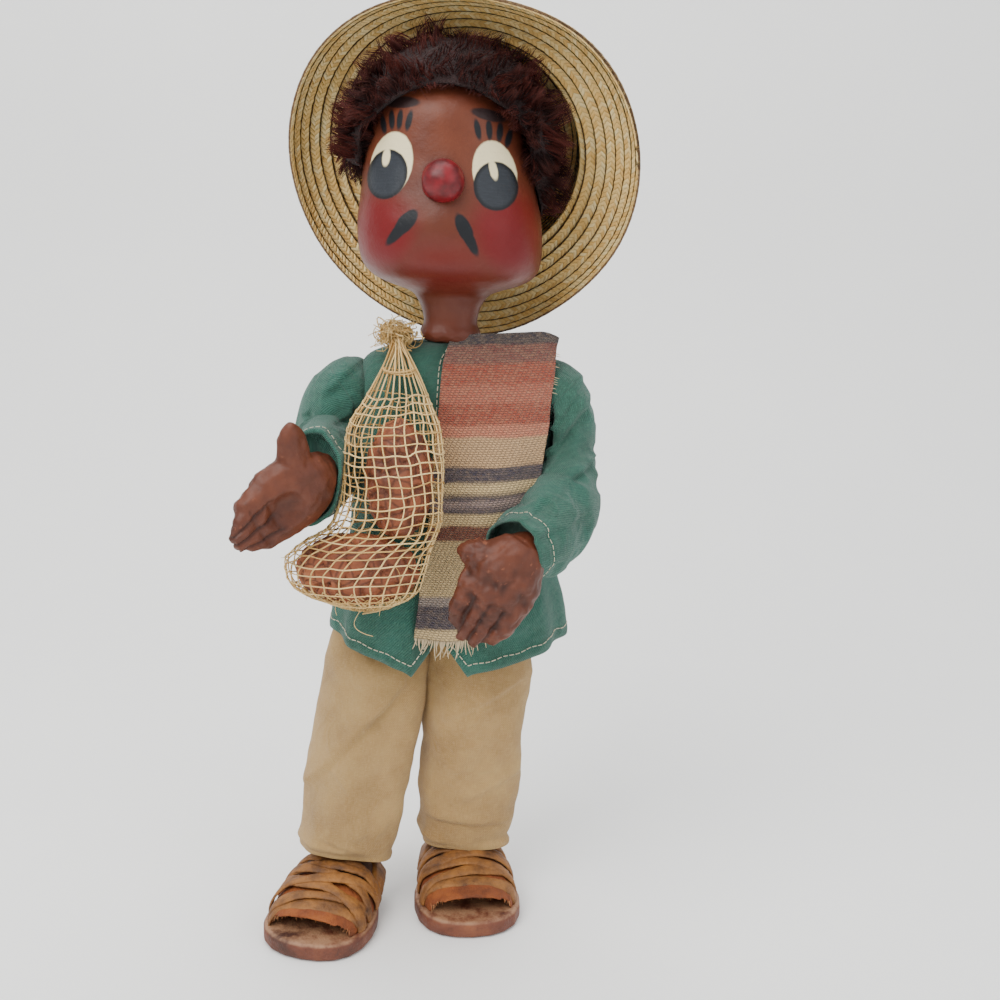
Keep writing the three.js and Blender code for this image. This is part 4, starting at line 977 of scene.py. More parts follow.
def hem_height(turn):
    """The hem falls to two points in front, either side of an opening, and is level behind."""
    level = 129.5
    x = 1 + 53 * signed_power(np.cos(turn), 0.8)
    line = np.interp(x, [-52, -16, -13.4, -2.5, -0.5, 11.3, 14, 54],
                     [level, 117, 115.2, 131.5, 131.5, 115.8, 117.4, level])
    return np.where(np.sin(turn) > 0.12, line, level) + 1.0


def sewn_line(line, step, long, spare=0.2):
    """Stitches of a length, a step apart, along a line of points, up to the spare at its end."""
    lengths = run_lengths(line)
    stitches = []
    for start in np.arange(0, lengths[-1] - long - spare, step):
        at = np.linspace(start, start + long, 4)
        stitches.append(np.stack([np.interp(at, lengths, line[:, k]) for k in range(3)], -1))
    return stitches


def build_shirt(settings):
    """The shirt's body: folds that open towards the hem, creases, a rolled hem and its stitching."""
    sides, rows = 192, 110
    colour = srgb(*(round(channel * 255) for channel in settings.cloth))
    cotton = plain_weave("shirt cotton", colour, srgb(24, 66, 54), srgb(74, 128, 106),
                         srgb(54, 84, 68), lean=0.7)
    thread = cotton_thread("shirt thread", srgb(222, 212, 186))
    hem = hem_height(circle(sides))
    share = np.linspace(0, 1, rows) ** 0.9
    outer = torso_surface(sides, settings.fold)(hem[None] + (COLLAR_Z - hem[None]) * share[:, None])
    outward = unit((outer - np.array([1.0, -2.0, 0.0])) * np.array([0.45, 1.0, 0.0]))
    creases = ripple(outer * np.array([1, 1, 0.45]), 0.07, 1.3, 11) + ripple(outer, 0.16, 0.5, 12)
    creases += ripple(outer * np.array([1, 1, 2.2]), 0.045, 0.7, 13) * (share[:, None] > 0.1)
    creases *= np.clip((257 - outer[..., 2]) / 16, 0, 1)
    creases *= np.where(np.abs(outward[..., 0]) > 0.6, 0.35, 1)
    outer = outer + outward * np.minimum(creases, 1.0)[..., None]
    roll = np.clip(1 - (outer[..., 2] - hem[None]) / 5.2, 0, 1)
    outer = outer + outward * (0.35 * np.sin(roll * math.pi))[..., None]
    inner_rows = 16
    inside = outer[:inner_rows][::-1] - outward[:inner_rows][::-1] * settings.thick
    inside[-1] = outer[0] - outward[0] * settings.thick * 0.7 + np.array([0, 0, -0.3])
    body = skin("shirt_body_cloth", np.concatenate([inside, outer]), cotton, caps=(True, True))
    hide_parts("shirt_body", "torso_stuffing")

    # Topstitching above the hem, and a line of stitches down the front.
    fine_turn = circle(420)
    above = 4.6 + 0.35 * np.sin(fine_turn * 23)
    column = fine_turn / (2 * math.pi) * sides
    left = column.astype(int) % sides
    row = (above / (COLLAR_Z - hem[left])) ** (1 / 0.9) * (rows - 1)
    low = np.clip(row.astype(int), 0, rows - 2)

    def on_hem(column):
        part = (row - low)[:, None]
        return outer[low, column] * (1 - part) + outer[low + 1, column] * part, outward[low, column]

    (first, first_way), (second, second_way) = on_hem(left), on_hem((left + 1) % sides)
    part = (column - left)[:, None]
    line = first * (1 - part) + second * part + (first_way * (1 - part) + second_way * part) * 0.12
    chest, front = slice(84, 109), int(sides * 0.267)
    front_line = outer[chest, front] + outward[chest, front] * 0.15
    stitches = sewn_line(line, 2.7, 2.0, 0.4) + sewn_line(front_line, 2.9, 2.0, 0.4)
    sewn = strands("shirt_stitches", stitches, [0.24] * len(stitches), thread, sides=5)
    return [body, sewn], cotton, thread


# Along each sleeve: x, y, z, half width fore and aft, half depth. Creases run in front, from one
# point to another in x and z, with how sharp they are. The cloth stays outside the torso's wall.
SLEEVES = {
    "right": {
        "path": [(-36, 0, 238, 11.5, 9.6), (-39.5, 0, 237, 15.4, 13.4), (-44.5, 0, 234, 16.4, 13.8),
                 (-49.6, -0.5, 227.6, 16.8, 13.2), (-51.6, -1.5, 219.4, 17.2, 13.4),
                 (-52, -5.5, 211.5, 17.6, 13.8), (-52.2, -14, 207, 18, 13.6), (-53.2, -27, 205.2, 17.6, 13),
                 (-54, -39, 205, 18.2, 12.6), (-54.4, -49.6, 205, 19.2, 12.6)],
        "nodes": ("right_upper_sleeve", "right_lower_sleeve", "right_forearm_stuffing"),
        "elbow": (-49.6, -2, 211), "ahead": (0, -6, -5), "bodies": ("right_arm", "right_forearm"),
        "split": 0.4, "rucks": 8.5, "stretch": (1.0, 0.6, 0.8), "wall": 41.6,
        "creases": [((-41, 246), (-61, 224), 0.9), ((-38, 230), (-60, 214), 0.9),
                    ((-44, 238), (-66, 233), 0.6), ((-62, 212), (-46, 219), 0.8)],
    },
    "left": {
        "path": [(36, 0, 239.4, 11.5, 9.6), (40, 0, 238.8, 15.4, 13.6), (45, 0, 235, 16.4, 12.8),
                 (48.4, -0.5, 227, 17, 11.2), (49, -2, 214, 17.2, 11), (49.6, -6, 201, 18, 12.6),
                 (48.2, -12.6, 190, 20, 14.4), (43, -24, 183.4, 19, 14.6), (35.6, -35.4, 179.4, 16.4, 14),
                 (28, -45.6, 177.4, 13.6, 13)],
        "nodes": ("left_upper_sleeve", "left_lower_sleeve", "left_forearm_stuffing"),
        "elbow": (51.6, -10, 180), "ahead": (-2, -6, -2), "bodies": ("left_arm", "left_forearm"),
        "split": 0.36, "rucks": 6.5, "stretch": (1.0, 0.9, 0.45), "wall": 43.4,
        "creases": [((30, 195), (58, 236), 1.0), ((31, 190), (66, 214), 1.0), ((40, 216), (56, 246), 0.7),
                    ((28, 182), (60, 192), 0.8), ((36, 172), (58, 178), 0.6)],
    },
}


def carried_loft(stations, sides, count):
    """Rings round a bending path, their frame carried along it without twist. The width is fore and aft."""
    rows = curve(stations, count)
    middle = rows[:, :3]
    along = unit(np.gradient(middle, axis=0))
    across = np.array([0.0, 1.0, 0.0])
    rings, outwards = [], []
    turn = circle(sides)
    cosine, sine = np.cos(turn)[:, None], np.sin(turn)[:, None]
    for k in range(count + 1):
        across = across - along[k] * (across @ along[k])
        across = across / np.linalg.norm(across)
        other = np.cross(across, along[k])
        wide, deep = rows[k, 3:]
        rings.append(middle[k] + (cosine * across * wide + sine * other * deep))
        outwards.append(unit(cosine * across / wide + sine * other / deep))
    return np.array(rings), np.array(outwards), turn[None], np.linspace(0, 1, count + 1)[:, None]


def cloth_folds(points, scale, size, seed, stretch=(1.0, 1.0, 1.0)):
    """Creases with a sharper crest than trough."""
    value = ripple(points * np.array(stretch), scale, 1.0, seed)
    return size * (1 - 2.2 * np.abs(value)) * 0.6


def fold_over(points, start, end, high, middle_y):
    """A crease in front, from one point in x and z to another: cloth bulges above it and dips below."""
    run = np.array(end, float) - start
    long = np.linalg.norm(run)
    run = run / long
    from_start = points[..., [0, 2]] - start
    above = from_start @ np.array([-run[1], run[0]]) * (1 if run[0] > 0 else -1)
    along = from_start @ run / long
    in_front = np.clip((middle_y - points[..., 1]) / 7, 0, 1)
    near = np.clip(np.minimum(along, 1 - along) * 5 + 0.7, 0, 1) * in_front
    over = 1 / (1 + np.exp(-np.clip(above / 0.45, -30, 30)))
    return high * near * (over * 2.0 * np.exp(-np.maximum(above, 0) / 5)
                          - (1 - over) * 1.2 * np.exp(np.minimum(above, 0) / 3))


def build_sleeves(cotton, thread):
    """Both sleeves: a shoulder and a folded sleeve with its stitched cuff and a lining in its mouth."""
    pieces = []
    for number, (side, sleeve) in enumerate(SLEEVES.items()):
        rings, outward, turn, share = carried_loft(sleeve["path"], 112, 190)
        count = len(rings)
        sign = 1 if side == "left" else -1
        bend = np.exp(-((share - 0.56) / 0.17) ** 2)
        rucked = np.sin(2 * math.pi * sleeve["rucks"] * share + 1.7 * np.sin(turn + number))
        push = 1.25 * bend * rucked * (0.55 + 0.45 * np.sin(turn + 0.8 + 2 * number))
        grows = np.clip((share - 0.1) * 3.5, 0, 1)
        push = push + grows * (cloth_folds(rings, 0.05, 5.2, 61 + number, sleeve["stretch"])
                               + cloth_folds(rings, 0.1, 2.0, 63 + number)
                               + ripple(rings, 0.2, 0.35, 65 + number))
        cuff = np.clip((share - 0.86) / 0.14, 0, 1)
        push = push * (1 - 0.75 * cuff)
        for start, end, high in sleeve["creases"]:
            push = push + fold_over(rings, start, end, high, rings.mean(axis=1, keepdims=True)[..., 1] + 3)
        rings = rings + outward * np.minimum(push, 2.7)[..., None]
        hem = np.exp(-((np.arange(count) - (count - 11)) / 1.6) ** 2)
        rings = rings - outward * (hem * 0.45)[:, None, None]
        upper = (share < 0.62) & (share > 0.2) & (rings[..., 1] > -17)
        beside = np.maximum(rings[..., 0] * sign, sleeve["wall"])
        rings[..., 0] = np.where(upper, sign * beside, rings[..., 0])
        mouth = rings[-1].mean(axis=0)
        lip = rings[-1] + (mouth - rings[-1]) * 0.045 + (rings[-1] - rings[-3]) * 0.25
        inward = rings[-10:][::-1]
        axis = inward.mean(axis=1, keepdims=True)
        lining = mouth + (inward - axis) * 0.9 + (axis - mouth)
        split = int(sleeve["split"] * count)
        shoulder = skin(f"{side}_shoulder_cloth", rings[:split + 1], cotton, caps=(True, False))
        lower = np.concatenate([rings[split:], lip[None], lining])
        cloth = skin(f"{side}_sleeve_cloth", lower, cotton, caps=(False, True))
        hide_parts(*sleeve["nodes"])
        line = rings[-12] + outward[-12] * 0.14
        stitches = sewn_line(np.vstack([line, line[:1]]), 2.6, 1.8)
        sewn = strands(f"{side}_cuff_stitches", stitches, [0.17] * len(stitches), thread, sides=5)
        pieces.append((side, cloth, shoulder, sewn))
    return pieces


SERAPE = [  # height, half width, half depth and middle of the shirt that the strip lies on
    (99, 52, 31, -2), (129, 51, 29.4, -2), (160.5, 48, 28, -2), (195.5, 48, 27, -2), (233, 48, 23.6, -1),
    (258, 48, 16.5, 0), (272, 48, 13, 0),
]


def serape_front(x, z):
    """How far forward the shirt's front is."""
    heights, *rows = np.array(SERAPE, float).T
    wide, deep, middle = (np.interp(z, heights, row) for row in rows)
    across = np.clip(np.abs(x - 1) / wide, 0, 0.995)
    return middle - deep * (1 - across**2.9) ** (1 / 2.9)


def serape_grid(across, along, thick):
    """The strip's front, from the shoulder down: waves, frayed sides and a corner that curls."""
    u = np.linspace(0, 1, across + 1)[None]
    v = np.linspace(0, 1, along + 1)[:, None]
    left_x = np.interp(v, [0, 0.08, 0.42, 0.75, 1], [-0.5, -3.5, -6.6, -8.2, -12.4])
    left_z = np.interp(v, [0, 1], [261.5, 134.8])
    right_x = np.interp(v, [0, 0.3, 0.62, 0.8, 1], [44.0, 41.4, 36.0, 35.6, 35.6])
    right_z = left_z + np.interp(v, [0, 0.2, 0.5, 0.7, 1], [3.4, 2.4, 3.0, 6.0, 22.0])
    x = left_x + (right_x - left_x) * u
    z = left_z + (right_z - left_z) * u
    z = z - v * (0.6 + 9.0 * v**3) * np.sin(u * math.pi)
    flat_points = np.stack([x, np.zeros_like(x), z], -1)
    edge = np.minimum(u, 1 - u)
    x = x + ripple(flat_points, 0.08, 0.7, 31) * (edge < 0.05)
    y = serape_front(x, z) - thick / 2 - 0.5
    y = y - 0.9 * np.sin(2 * math.pi * (u * 1.6 + v * 0.5)) * v - ripple(flat_points, 0.035, 1.2, 32)
    y = y - 0.6 * np.clip((0.06 - edge) / 0.06, 0, 1)
    curl = np.clip((0.05 - v) / 0.05, 0, 1)
    y = y - curl * 1.2 * u
    z = z - curl * 3.0 * np.clip((u - 0.8) / 0.2, 0, 1) ** 2
    return np.stack([x, y, z], -1)


def close_strip(mesh, across, along, sides):
    """Fills both ends of the strip's skin and lays its UV flat, in millimetres."""
    bm = bmesh.new()
    bm.from_mesh(mesh)
    bm.verts.ensure_lookup_table()
    for row in (0, along):
        start = row * sides
        for j in range(across):
            quad = [start + j, start + j + 1, start + sides - 2 - j, start + sides - 1 - j]
            if row:
                quad = quad[::-1]
            bm.faces.new([bm.verts[k] for k in quad]).smooth = True
    layer = bm.loops.layers.uv["cloth"]
    wide, long = SERAPE_FLAT
    for face in bm.faces:
        for loop in face.loops:
            row, column = divmod(loop.vert.index, sides)
            from_left = column if column <= across else sides - 1 - column
            loop[layer].uv = (from_left / across * wide, (1 - row / along) * long)
    bm.to_mesh(mesh)
    bm.free()


def build_serape(settings):
    """A narrow woven blanket that hangs from the left shoulder down the front, with its fringe."""
    across, along = 60, 150
    grid = serape_grid(across, along, settings.thick)
    back = grid + np.array([0, settings.thick, 0])
    strip = np.concatenate([grid, back[:, ::-1]], axis=1)
    piece = skin("serape_wool", strip, striped_wool())
    close_strip(piece.data, across, along, strip.shape[1])
    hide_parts("serape")
    rng = np.random.default_rng(12)
    fringe, radii = [], []
    steps = np.linspace(0, 1, 5)[:, None]
    for t in np.linspace(0.01, 0.99, 62):
        k = int(t * across)
        part = t * across - k
        root = grid[-1, k] * (1 - part) + grid[-1, min(k + 1, across)] * part
        root = root + np.array([0, settings.thick / 2, 0])
        down = unit(grid[-1, k] - grid[-6, k])
        long = rng.uniform(4.0, 8.5) * (0.7 + 0.5 * (0.5 - abs(t - 0.4)))
        drift = rng.normal(0, 0.28, 3) * np.array([1, 0.3, 0.4])
        fall = (down + np.array([0, -0.05, -0.25])) * long
        fringe.append(root - down * 0.8 + fall * steps + drift * long * steps**2)
        radii.append(0.34 * np.array([1, 1.1, 0.9, 0.7, 0.3]))
    for t in rng.uniform(0.04, 0.2, 9):
        root = grid[int(t * along), across]
        path = root + np.array([1.4, -0.4, -0.3]) * np.linspace(0, 1, 4)[:, None] * rng.uniform(0.5, 1.6)
        fringe.append(path)
        radii.append(0.16 * np.array([1, 0.9, 0.7, 0.3]))
    yarn = cotton_thread("fringe yarn", srgb(206, 186, 150))
    tassels = strands("serape_fringe", fringe, radii, yarn, sides=5)
    return [piece, tassels]


HANDS = {  # wrist, towards the fingers, towards the thumb, how close the fingertips are, side of the palm
    "right": {"wrist": (-52.0, -52.5, 206.1), "reach": (-29, -20, -22), "thumb": (-0.1, -0.25, 1),
              "gathered": 0.5, "palm": 1},
    "left": {"wrist": (29.4, -49.6, 176.9), "reach": (-17, -4, -33), "thumb": (-0.9, 0, 0.42),
             "gathered": 0.8, "palm": -1},
}


def build_hands(finish):
    """Moulded hands: grooves between the fingers, knuckles, and lumps in the palm."""
    pieces = []
    for number, (side, hand) in enumerate(HANDS.items()):
        piece = moulded(f"{side}_moulded_hand", f"{side}_hand", finish, voxel=0.8, rounds=8, swell=0.4)
        hollow = np.zeros(len(piece.data.vertices))

        def knead(points, normals, hand=hand, hollow=hollow, number=number):
            reach = unit(np.array(hand["reach"], float))
            away = unit(np.cross(reach, unit(np.array(hand["thumb"], float))))
            local = points - np.array(hand["wrist"])
            along, side_way, face = local @ reach, local @ np.cross(away, reach), local @ away
            closing = np.clip((along - 20) / 22, 0, 1)
            lane = side_way / (7.0 * (1 + (hand["gathered"] - 1) * closing))
            beside_thumb = np.clip((14 - side_way) / 3, 0, 1)
            on_fingers = np.clip((along - 19) / 5, 0, 1) * (np.abs(lane) < 1.6) * beside_thumb
            groove = sum(np.exp(-((lane - k) / 0.13) ** 2) for k in (-1, 0, 1)) * on_fingers
            joints = sum(np.exp(-((along - at) / 1.1) ** 2) for at in (22.5, 30.5)) * on_fingers
            lumps = ripple(points, 0.16, 1.0, 71 + number) + 0.6 * ripple(points, 0.34, 1.0, 73 + number)
            palm_side = np.clip(face * hand["palm"] / 3, 0, 1) * np.clip((along - 3) / 6, 0, 1)
            dents = np.clip(-lumps, 0, 1) * (0.5 + 1.1 * palm_side)
            # How dark the painted shade is at each point: grooves, dents in the palm and knuckle creases.
            hollow[:] = np.clip(groove * 0.75 + dents * 0.8 * palm_side + joints * 0.25, 0, 1)
            size = 1.2 * lumps * (0.5 + palm_side) - 1.2 * groove - 0.5 * joints
            return points + normals * np.clip(size, -1.9, 1.3)[:, None]

        move_vertices(piece, knead)
        layer = piece.data.attributes.new("hollow", "FLOAT", "POINT")
        layer.data.foreach_set("value", hollow)
        pieces.append(piece)
    return pieces


LEGS = {  # creases run in front, from one point to another in x and z, with how sharp they are
    "right": {"hip": (-27.5, 0, 133), "foot": (-46.8, -17, 0),
              "creases": [((-22, 101), (-66, 51), 1.5), ((-50, 37), (-34, 31), 0.6)]},
    "left": {"hip": (15.5, 0, 133), "foot": (10.5, 5, 0),
             "creases": [((34, 108), (0, 88), 0.55), ((30, 38), (-4, 41), 0.9), ((34, 62), (10, 50), 0.45)]},
}
# Down each trouser leg: share of its length, and width and depth as shares of the largest.
LEG_STATIONS = [(-0.145, 0.3, 0.26), (-0.115, 0.6, 0.54), (0, 0.86, 0.82), (0.16, 1, 0.91), (0.4, 0.99, 0.96),
                (0.68, 0.98, 0.96), (0.93, 0.93, 1.0), (1.0, 0.91, 0.98)]


def build_trousers(settings):
    """Wide cotton legs with creases and a lining in the hem, and the seat between them."""
    cotton = plain_weave("cream cotton", srgb(180, 144, 88), srgb(144, 108, 60), srgb(200, 170, 116),
                         srgb(132, 98, 60))
    half_wide, half_deep = 23.0, 16.0
    share_of_leg = settings.leg_length * 1000 / 133.0
    pieces = []
    for number, (side, leg) in enumerate(LEGS.items()):
        hip, foot = np.array(leg["hip"], float), np.array(leg["foot"], float)
        path = [[*(hip + (foot - hip) * share * share_of_leg), wide * half_wide, deep * half_deep]
                for share, wide, deep in LEG_STATIONS]

        def folds(turn, share, number=number):
            soft = 0.8 * np.sin(4 * turn + 3 * share + number) * share
            low = 1.6 * np.exp(-((share - 0.9) / 0.035) ** 2) * np.sin(turn + 0.6 + number)
            return soft + low

        rings = loft(path, 128, 170, square=2.2, push=folds)
        middle = rings.mean(axis=1, keepdims=True)
        outward = unit(rings - middle)
        size = ripple(rings, 0.05, 1.4, 40 + number) + ripple(rings, 0.13, 0.6, 42 + number)
        size += cloth_folds(rings, 0.06, 1.5, 44 + number, (1, 1, 0.4))
        for start, end, high in leg["creases"]:
            size += fold_over(rings, start, end, high, middle[..., 1])
        size *= np.clip(np.linspace(0, 1, len(rings)) * 4 - 0.3, 0, 1)[:, None]
        # Under the shirt the legs don't stand out.
        size = np.minimum(size, 2.4 * np.clip((121 - rings[..., 2]) / 14, 0, 1))
        rings = rings + outward * size[..., None]
        inner = rings[-22:][::-1] - outward[-22:][::-1] * 1.3
        cloth = skin(f"{side}_trouser_cloth", np.concatenate([rings, inner]), cotton, caps=(True, True))
        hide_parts(f"{side}_trouser_leg", f"{side}_leg_stuffing")
        pieces.append((side, cloth))
    seat = moulded("trousers_seat_cloth", "trousers_seat", cotton, voxel=1.6, rounds=10, swell=-0.3)
    return pieces, seat


SHOES = {  # middle of the ankle, degrees turned outwards, and each thong's place, lean, width and lift
    "right": {"at": (-44.5, -17), "out": 13, "thongs": [
        (-31, 10, 6.0, -0.4), (-27, 17, 4.6, 0.9), (-22, -20, 5.4, 1.6), (-18.5, 24, 4.8, 2.3),
        (-14.5, -16, 4.6, 1.7), (-10, 14, 5.2, 1.0), (-5, -8, 5.6, 0.6)]},
    "left": {"at": (10.5, 5), "out": -9, "thongs": [
        (-28.5, -4, 6.2, -0.4), (-24, 8, 4.8, 0.9), (-20, -11, 5.2, 1.5), (-15.5, 4, 5.0, 2.1),
        (-11, -8, 5.0, 1.4), (-6, 7, 5.6, 0.7)]},
}
# Across a thong: share of half its width, and height over the upper.
THONG_SECTION = ((-1, 0), (-0.85, 1), (-0.3, 1.25), (0.3, 1.25), (0.85, 1), (1, 0), (0.85, -0.6),
                 (-0.85, -0.6))
# Along the shoe: place, half width and height of the upper's dome.
UPPER = np.array([(-39.5, 16.9, 9.2), (-28.2, 21.1, 12.6), (-14.1, 21.1, 17), (-4, 20.2, 19.6), (4, 19, 19.6),
                  (11.5, 17.3, 15), (18, 10.6, 7)])


def over_foot(x, y, lift):
    """A point over the upper's dome, at a place across it between -1 and 1 and a place along the shoe."""
    wide = np.interp(y, UPPER[:, 0], UPPER[:, 1]) + 0.5 + lift
    high = np.interp(y, UPPER[:, 0], UPPER[:, 2]) + 0.5 + lift
    angle = x * math.pi / 2
    across = signed_power(np.sin(angle), 0.87) * wide
    return np.stack([across, y + 0 * across, 6.7 + np.abs(np.cos(angle)) ** 0.87 * high], -1)


def shoe_lining():
    """The inside of the upper, dark with painted shade: low in the toes, then close under the thongs."""
    half = np.linspace(-1, 1, 40)

    def arches(places, lift):
        return np.array([over_foot(half, np.full(40, y), lift) for y in places])

    toe_room = arches(np.linspace(-17, -34, 12), -2.5)
    toe_room[..., 2] = np.maximum(toe_room[..., 2], 7.1)
    return np.concatenate([toe_room, arches(np.linspace(-34, 15, 45), -1.6)])


def thong_rings(y, lean, wide, lift, seed):
    """One thong over the foot: a rounded, uneven band that leans, bows forward and lifts in the middle."""
    share = np.linspace(-0.99, 0.99, 61)
    bow = 2.2 * (1 - share**2)
    wander = ripple(np.stack([share * 20, share * 0 + y, share * 0], -1), 0.15, 1.2, seed)
    run = y + math.tan(math.radians(lean)) * share * 20 - bow + wander
    uneven = 1 + 0.2 * np.sin(share * 7 + y)
    hug = lift * (1 - 0.9 * np.abs(share) ** 1.5)
    return np.stack([over_foot(share, run + edge * wide / 2 * uneven, hug + 0.55 * thick)
                     for edge, thick in THONG_SECTION], axis=1)


def torn_fibres(rng):
    """Short fibres that hang from the torn front of the vamp."""
    steps = np.linspace(0, 1, 4)[:, None]
    fibres = []
    for _ in range(90):
        x = rng.uniform(-0.8, 0.8)
        root = over_foot(np.array(x), np.array(-37.0 + 2.5 * abs(x) + rng.uniform(-1, 1.5)), -0.4)
        tip = np.array([rng.normal(0, 0.8), -rng.uniform(0.8, 2.4), -rng.uniform(0.4, 2.2)])
        fibres.append(root + tip * steps + np.array([0, 0, -0.8]) * steps**2)
    return fibres


def build_sandals():
    """Two sandals: sole, foot, vamp with a torn edge, ankle thong and thongs over the instep."""
    sole_hide = hide("sole leather", srgb(132, 76, 44), srgb(100, 50, 30), srgb(60, 30, 18),
                     scale=1.0, rough=0.6, wax=0.04, insole=srgb(160, 122, 90))
    strap_hide = hide("strap leather", srgb(160, 104, 42), srgb(124, 78, 30), srgb(66, 38, 16),
                      scale=1.8, rough=0.64, wax=0.02)
    torn_hide = hide("vamp leather", srgb(150, 82, 28), srgb(120, 59, 20), srgb(72, 35, 14),
                     scale=1.3, rough=0.8)
    # Dark leather on the foot inside the upper: painted shade inside the sandal.
    shaded_lining_hide = hide("inner leather", srgb(92, 60, 44), srgb(60, 38, 28), srgb(38, 24, 18),
                     scale=1.0, rough=0.8)
    fibre = cotton_thread("torn fibre", srgb(196, 132, 84))
    pieces = []
    for number, (side, shoe) in enumerate(SHOES.items()):
        sole = moulded(f"{side}_sole_leather", f"{side}_sole", sole_hide, voxel=0.8, rounds=6, swell=0.2)
        vamp = moulded(f"{side}_vamp_leather", f"{side}_vamp", torn_hide, voxel=0.55, rounds=8, swell=0.25)
        ankle = moulded(f"{side}_ankle_thong", f"{side}_ankle_strap", strap_hide,
                        voxel=0.45, rounds=8, swell=0.3)
        turn = -math.radians(shoe["out"])
        cosine, sine = math.cos(turn), math.sin(turn)
        spin = np.array([[cosine, -sine, 0], [sine, cosine, 0], [0, 0, 1]])
        middle = np.array([*shoe["at"], 0.0])
        foot = skin(f"{side}_foot_leather", shoe_lining() @ spin.T + middle, shaded_lining_hide, caps=(True, True))
        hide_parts(f"{side}_foot")
        straps = []
        for index, thong in enumerate(shoe["thongs"]):
            band = thong_rings(*thong, 90 + number) @ spin.T + middle
            band += 0.16 * ripple(band, 0.6, 1.0, 95)[..., None]
            straps.append(skin(f"{side}_thong_{index + 1}", band, strap_hide, caps=(True, True)))
        rng = np.random.default_rng(80 + number)
        torn = [path @ spin.T + middle for path in torn_fibres(rng)]
        radii = [np.array([0.16, 0.15, 0.12, 0.05])] * len(torn)
        fray = strands(f"{side}_torn_edge", torn, radii, fibre, sides=3)
        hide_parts(f"{side}_toe_strap")
        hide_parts(f"{side}_instep_strap")
        pieces.append((side, [sole, foot, vamp, ankle, fray, *straps]))
    return pieces


BAG = [  # centre x, y, z, half width, half depth of the net
    (-32, -45, 151.4, 9, 5), (-35, -45, 157.6, 24, 11.6), (-36, -45, 167, 28.6, 13.6),
    (-32.4, -45, 176.5, 27, 13.8), (-25.4, -44.8, 184.5, 21.8, 13.8), (-21.8, -44, 198, 20.4, 13.6),
    (-21.4, -42.4, 213, 20, 12.8), (-21.6, -39.4, 226, 18.4, 11.2), (-21, -36, 236, 13.2, 9),
    (-21, -30.4, 246.6, 8.2, 5.9),
]
BAG_FINE, BAG_TALL = 120, 150  # columns and rows of the bag's sampled skin
TIE = (-21, -30.2, 247)  # where the bag is drawn in
KNOT = (-23.6, -14.5, 261)  # where its strings are knotted, on the shoulder


def bag_skin(columns, rows):
    """Points of the bag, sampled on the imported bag's outer wall, which keeps clear of the arm."""
    form = loft(BAG, columns, rows, level=True)
    middle = form.mean(axis=1, keepdims=True)
    tree = tree_of("net_bag")
    far = 0.12  # metres from the middle at which each ray starts
    reach = np.linalg.norm(form - middle, axis=2)
    found = reach.copy()
    for i in range(rows + 1):
        for j in range(columns):
            aim = Vector(unit(form[i, j] - middle[i, 0]))
            start = Vector(place(middle[i, 0])) + aim * far
            hit, _, _, distance = tree.ray_cast(start, -aim, far)
            if hit is not None:
                wall = (far - distance) * 1000
                free = max(wall, reach[i, j]) if wall > 0.72 * reach[i, j] else wall
                found[i, j] = min(max(free, 0.45 * reach[i, j]), 1.1 * reach[i, j])
    for _ in range(3):
        wide = np.pad(found, ((1, 1), (0, 0)), mode="edge")
        found = 0.5 * found + 0.25 * (wide[:-2] + wide[2:])
        found = 0.5 * found + 0.25 * (np.roll(found, 1, axis=1) + np.roll(found, -1, axis=1))
    return middle + unit(form - middle) * found[..., None]


def grid_point(grid, row, column):
    """A point between the grid's own, round which the columns run."""
    rows, columns = grid.shape[:2]
    row = min(max(row, 0), rows - 1.001)
    i, j = int(row), int(column % columns)
    a, b = row - i, column % columns - j
    k = (j + 1) % columns
    low = grid[i, j] * (1 - b) + grid[i, k] * b
    high = grid[i + 1, j] * (1 - b) + grid[i + 1, k] * b
    return low * (1 - a) + high * a


def net_lattice(grid, columns, mesh_size, rng):
    """Where the net's strings cross, row by row from the bottom, each a little out of place."""
    lengths = run_lengths(grid[:, 30])
    heights = np.arange(3.0, lengths[-1] - 9, mesh_size * 1000)
    level = np.interp(heights, lengths, np.arange(BAG_TALL + 1))
    lattice = np.zeros((len(level), columns, 3))
    for i, row in enumerate(level):
        for j in range(columns):
            sway = 2.6 * math.sin(i * 0.35 + 1.0) + rng.normal(0, 0.28)
            lift = rng.normal(0, 0.45) + 1.6 * math.sin(j * 0.5)
            lattice[i, j] = grid_point(grid, row + lift, j * BAG_FINE / columns + sway)
    return lattice


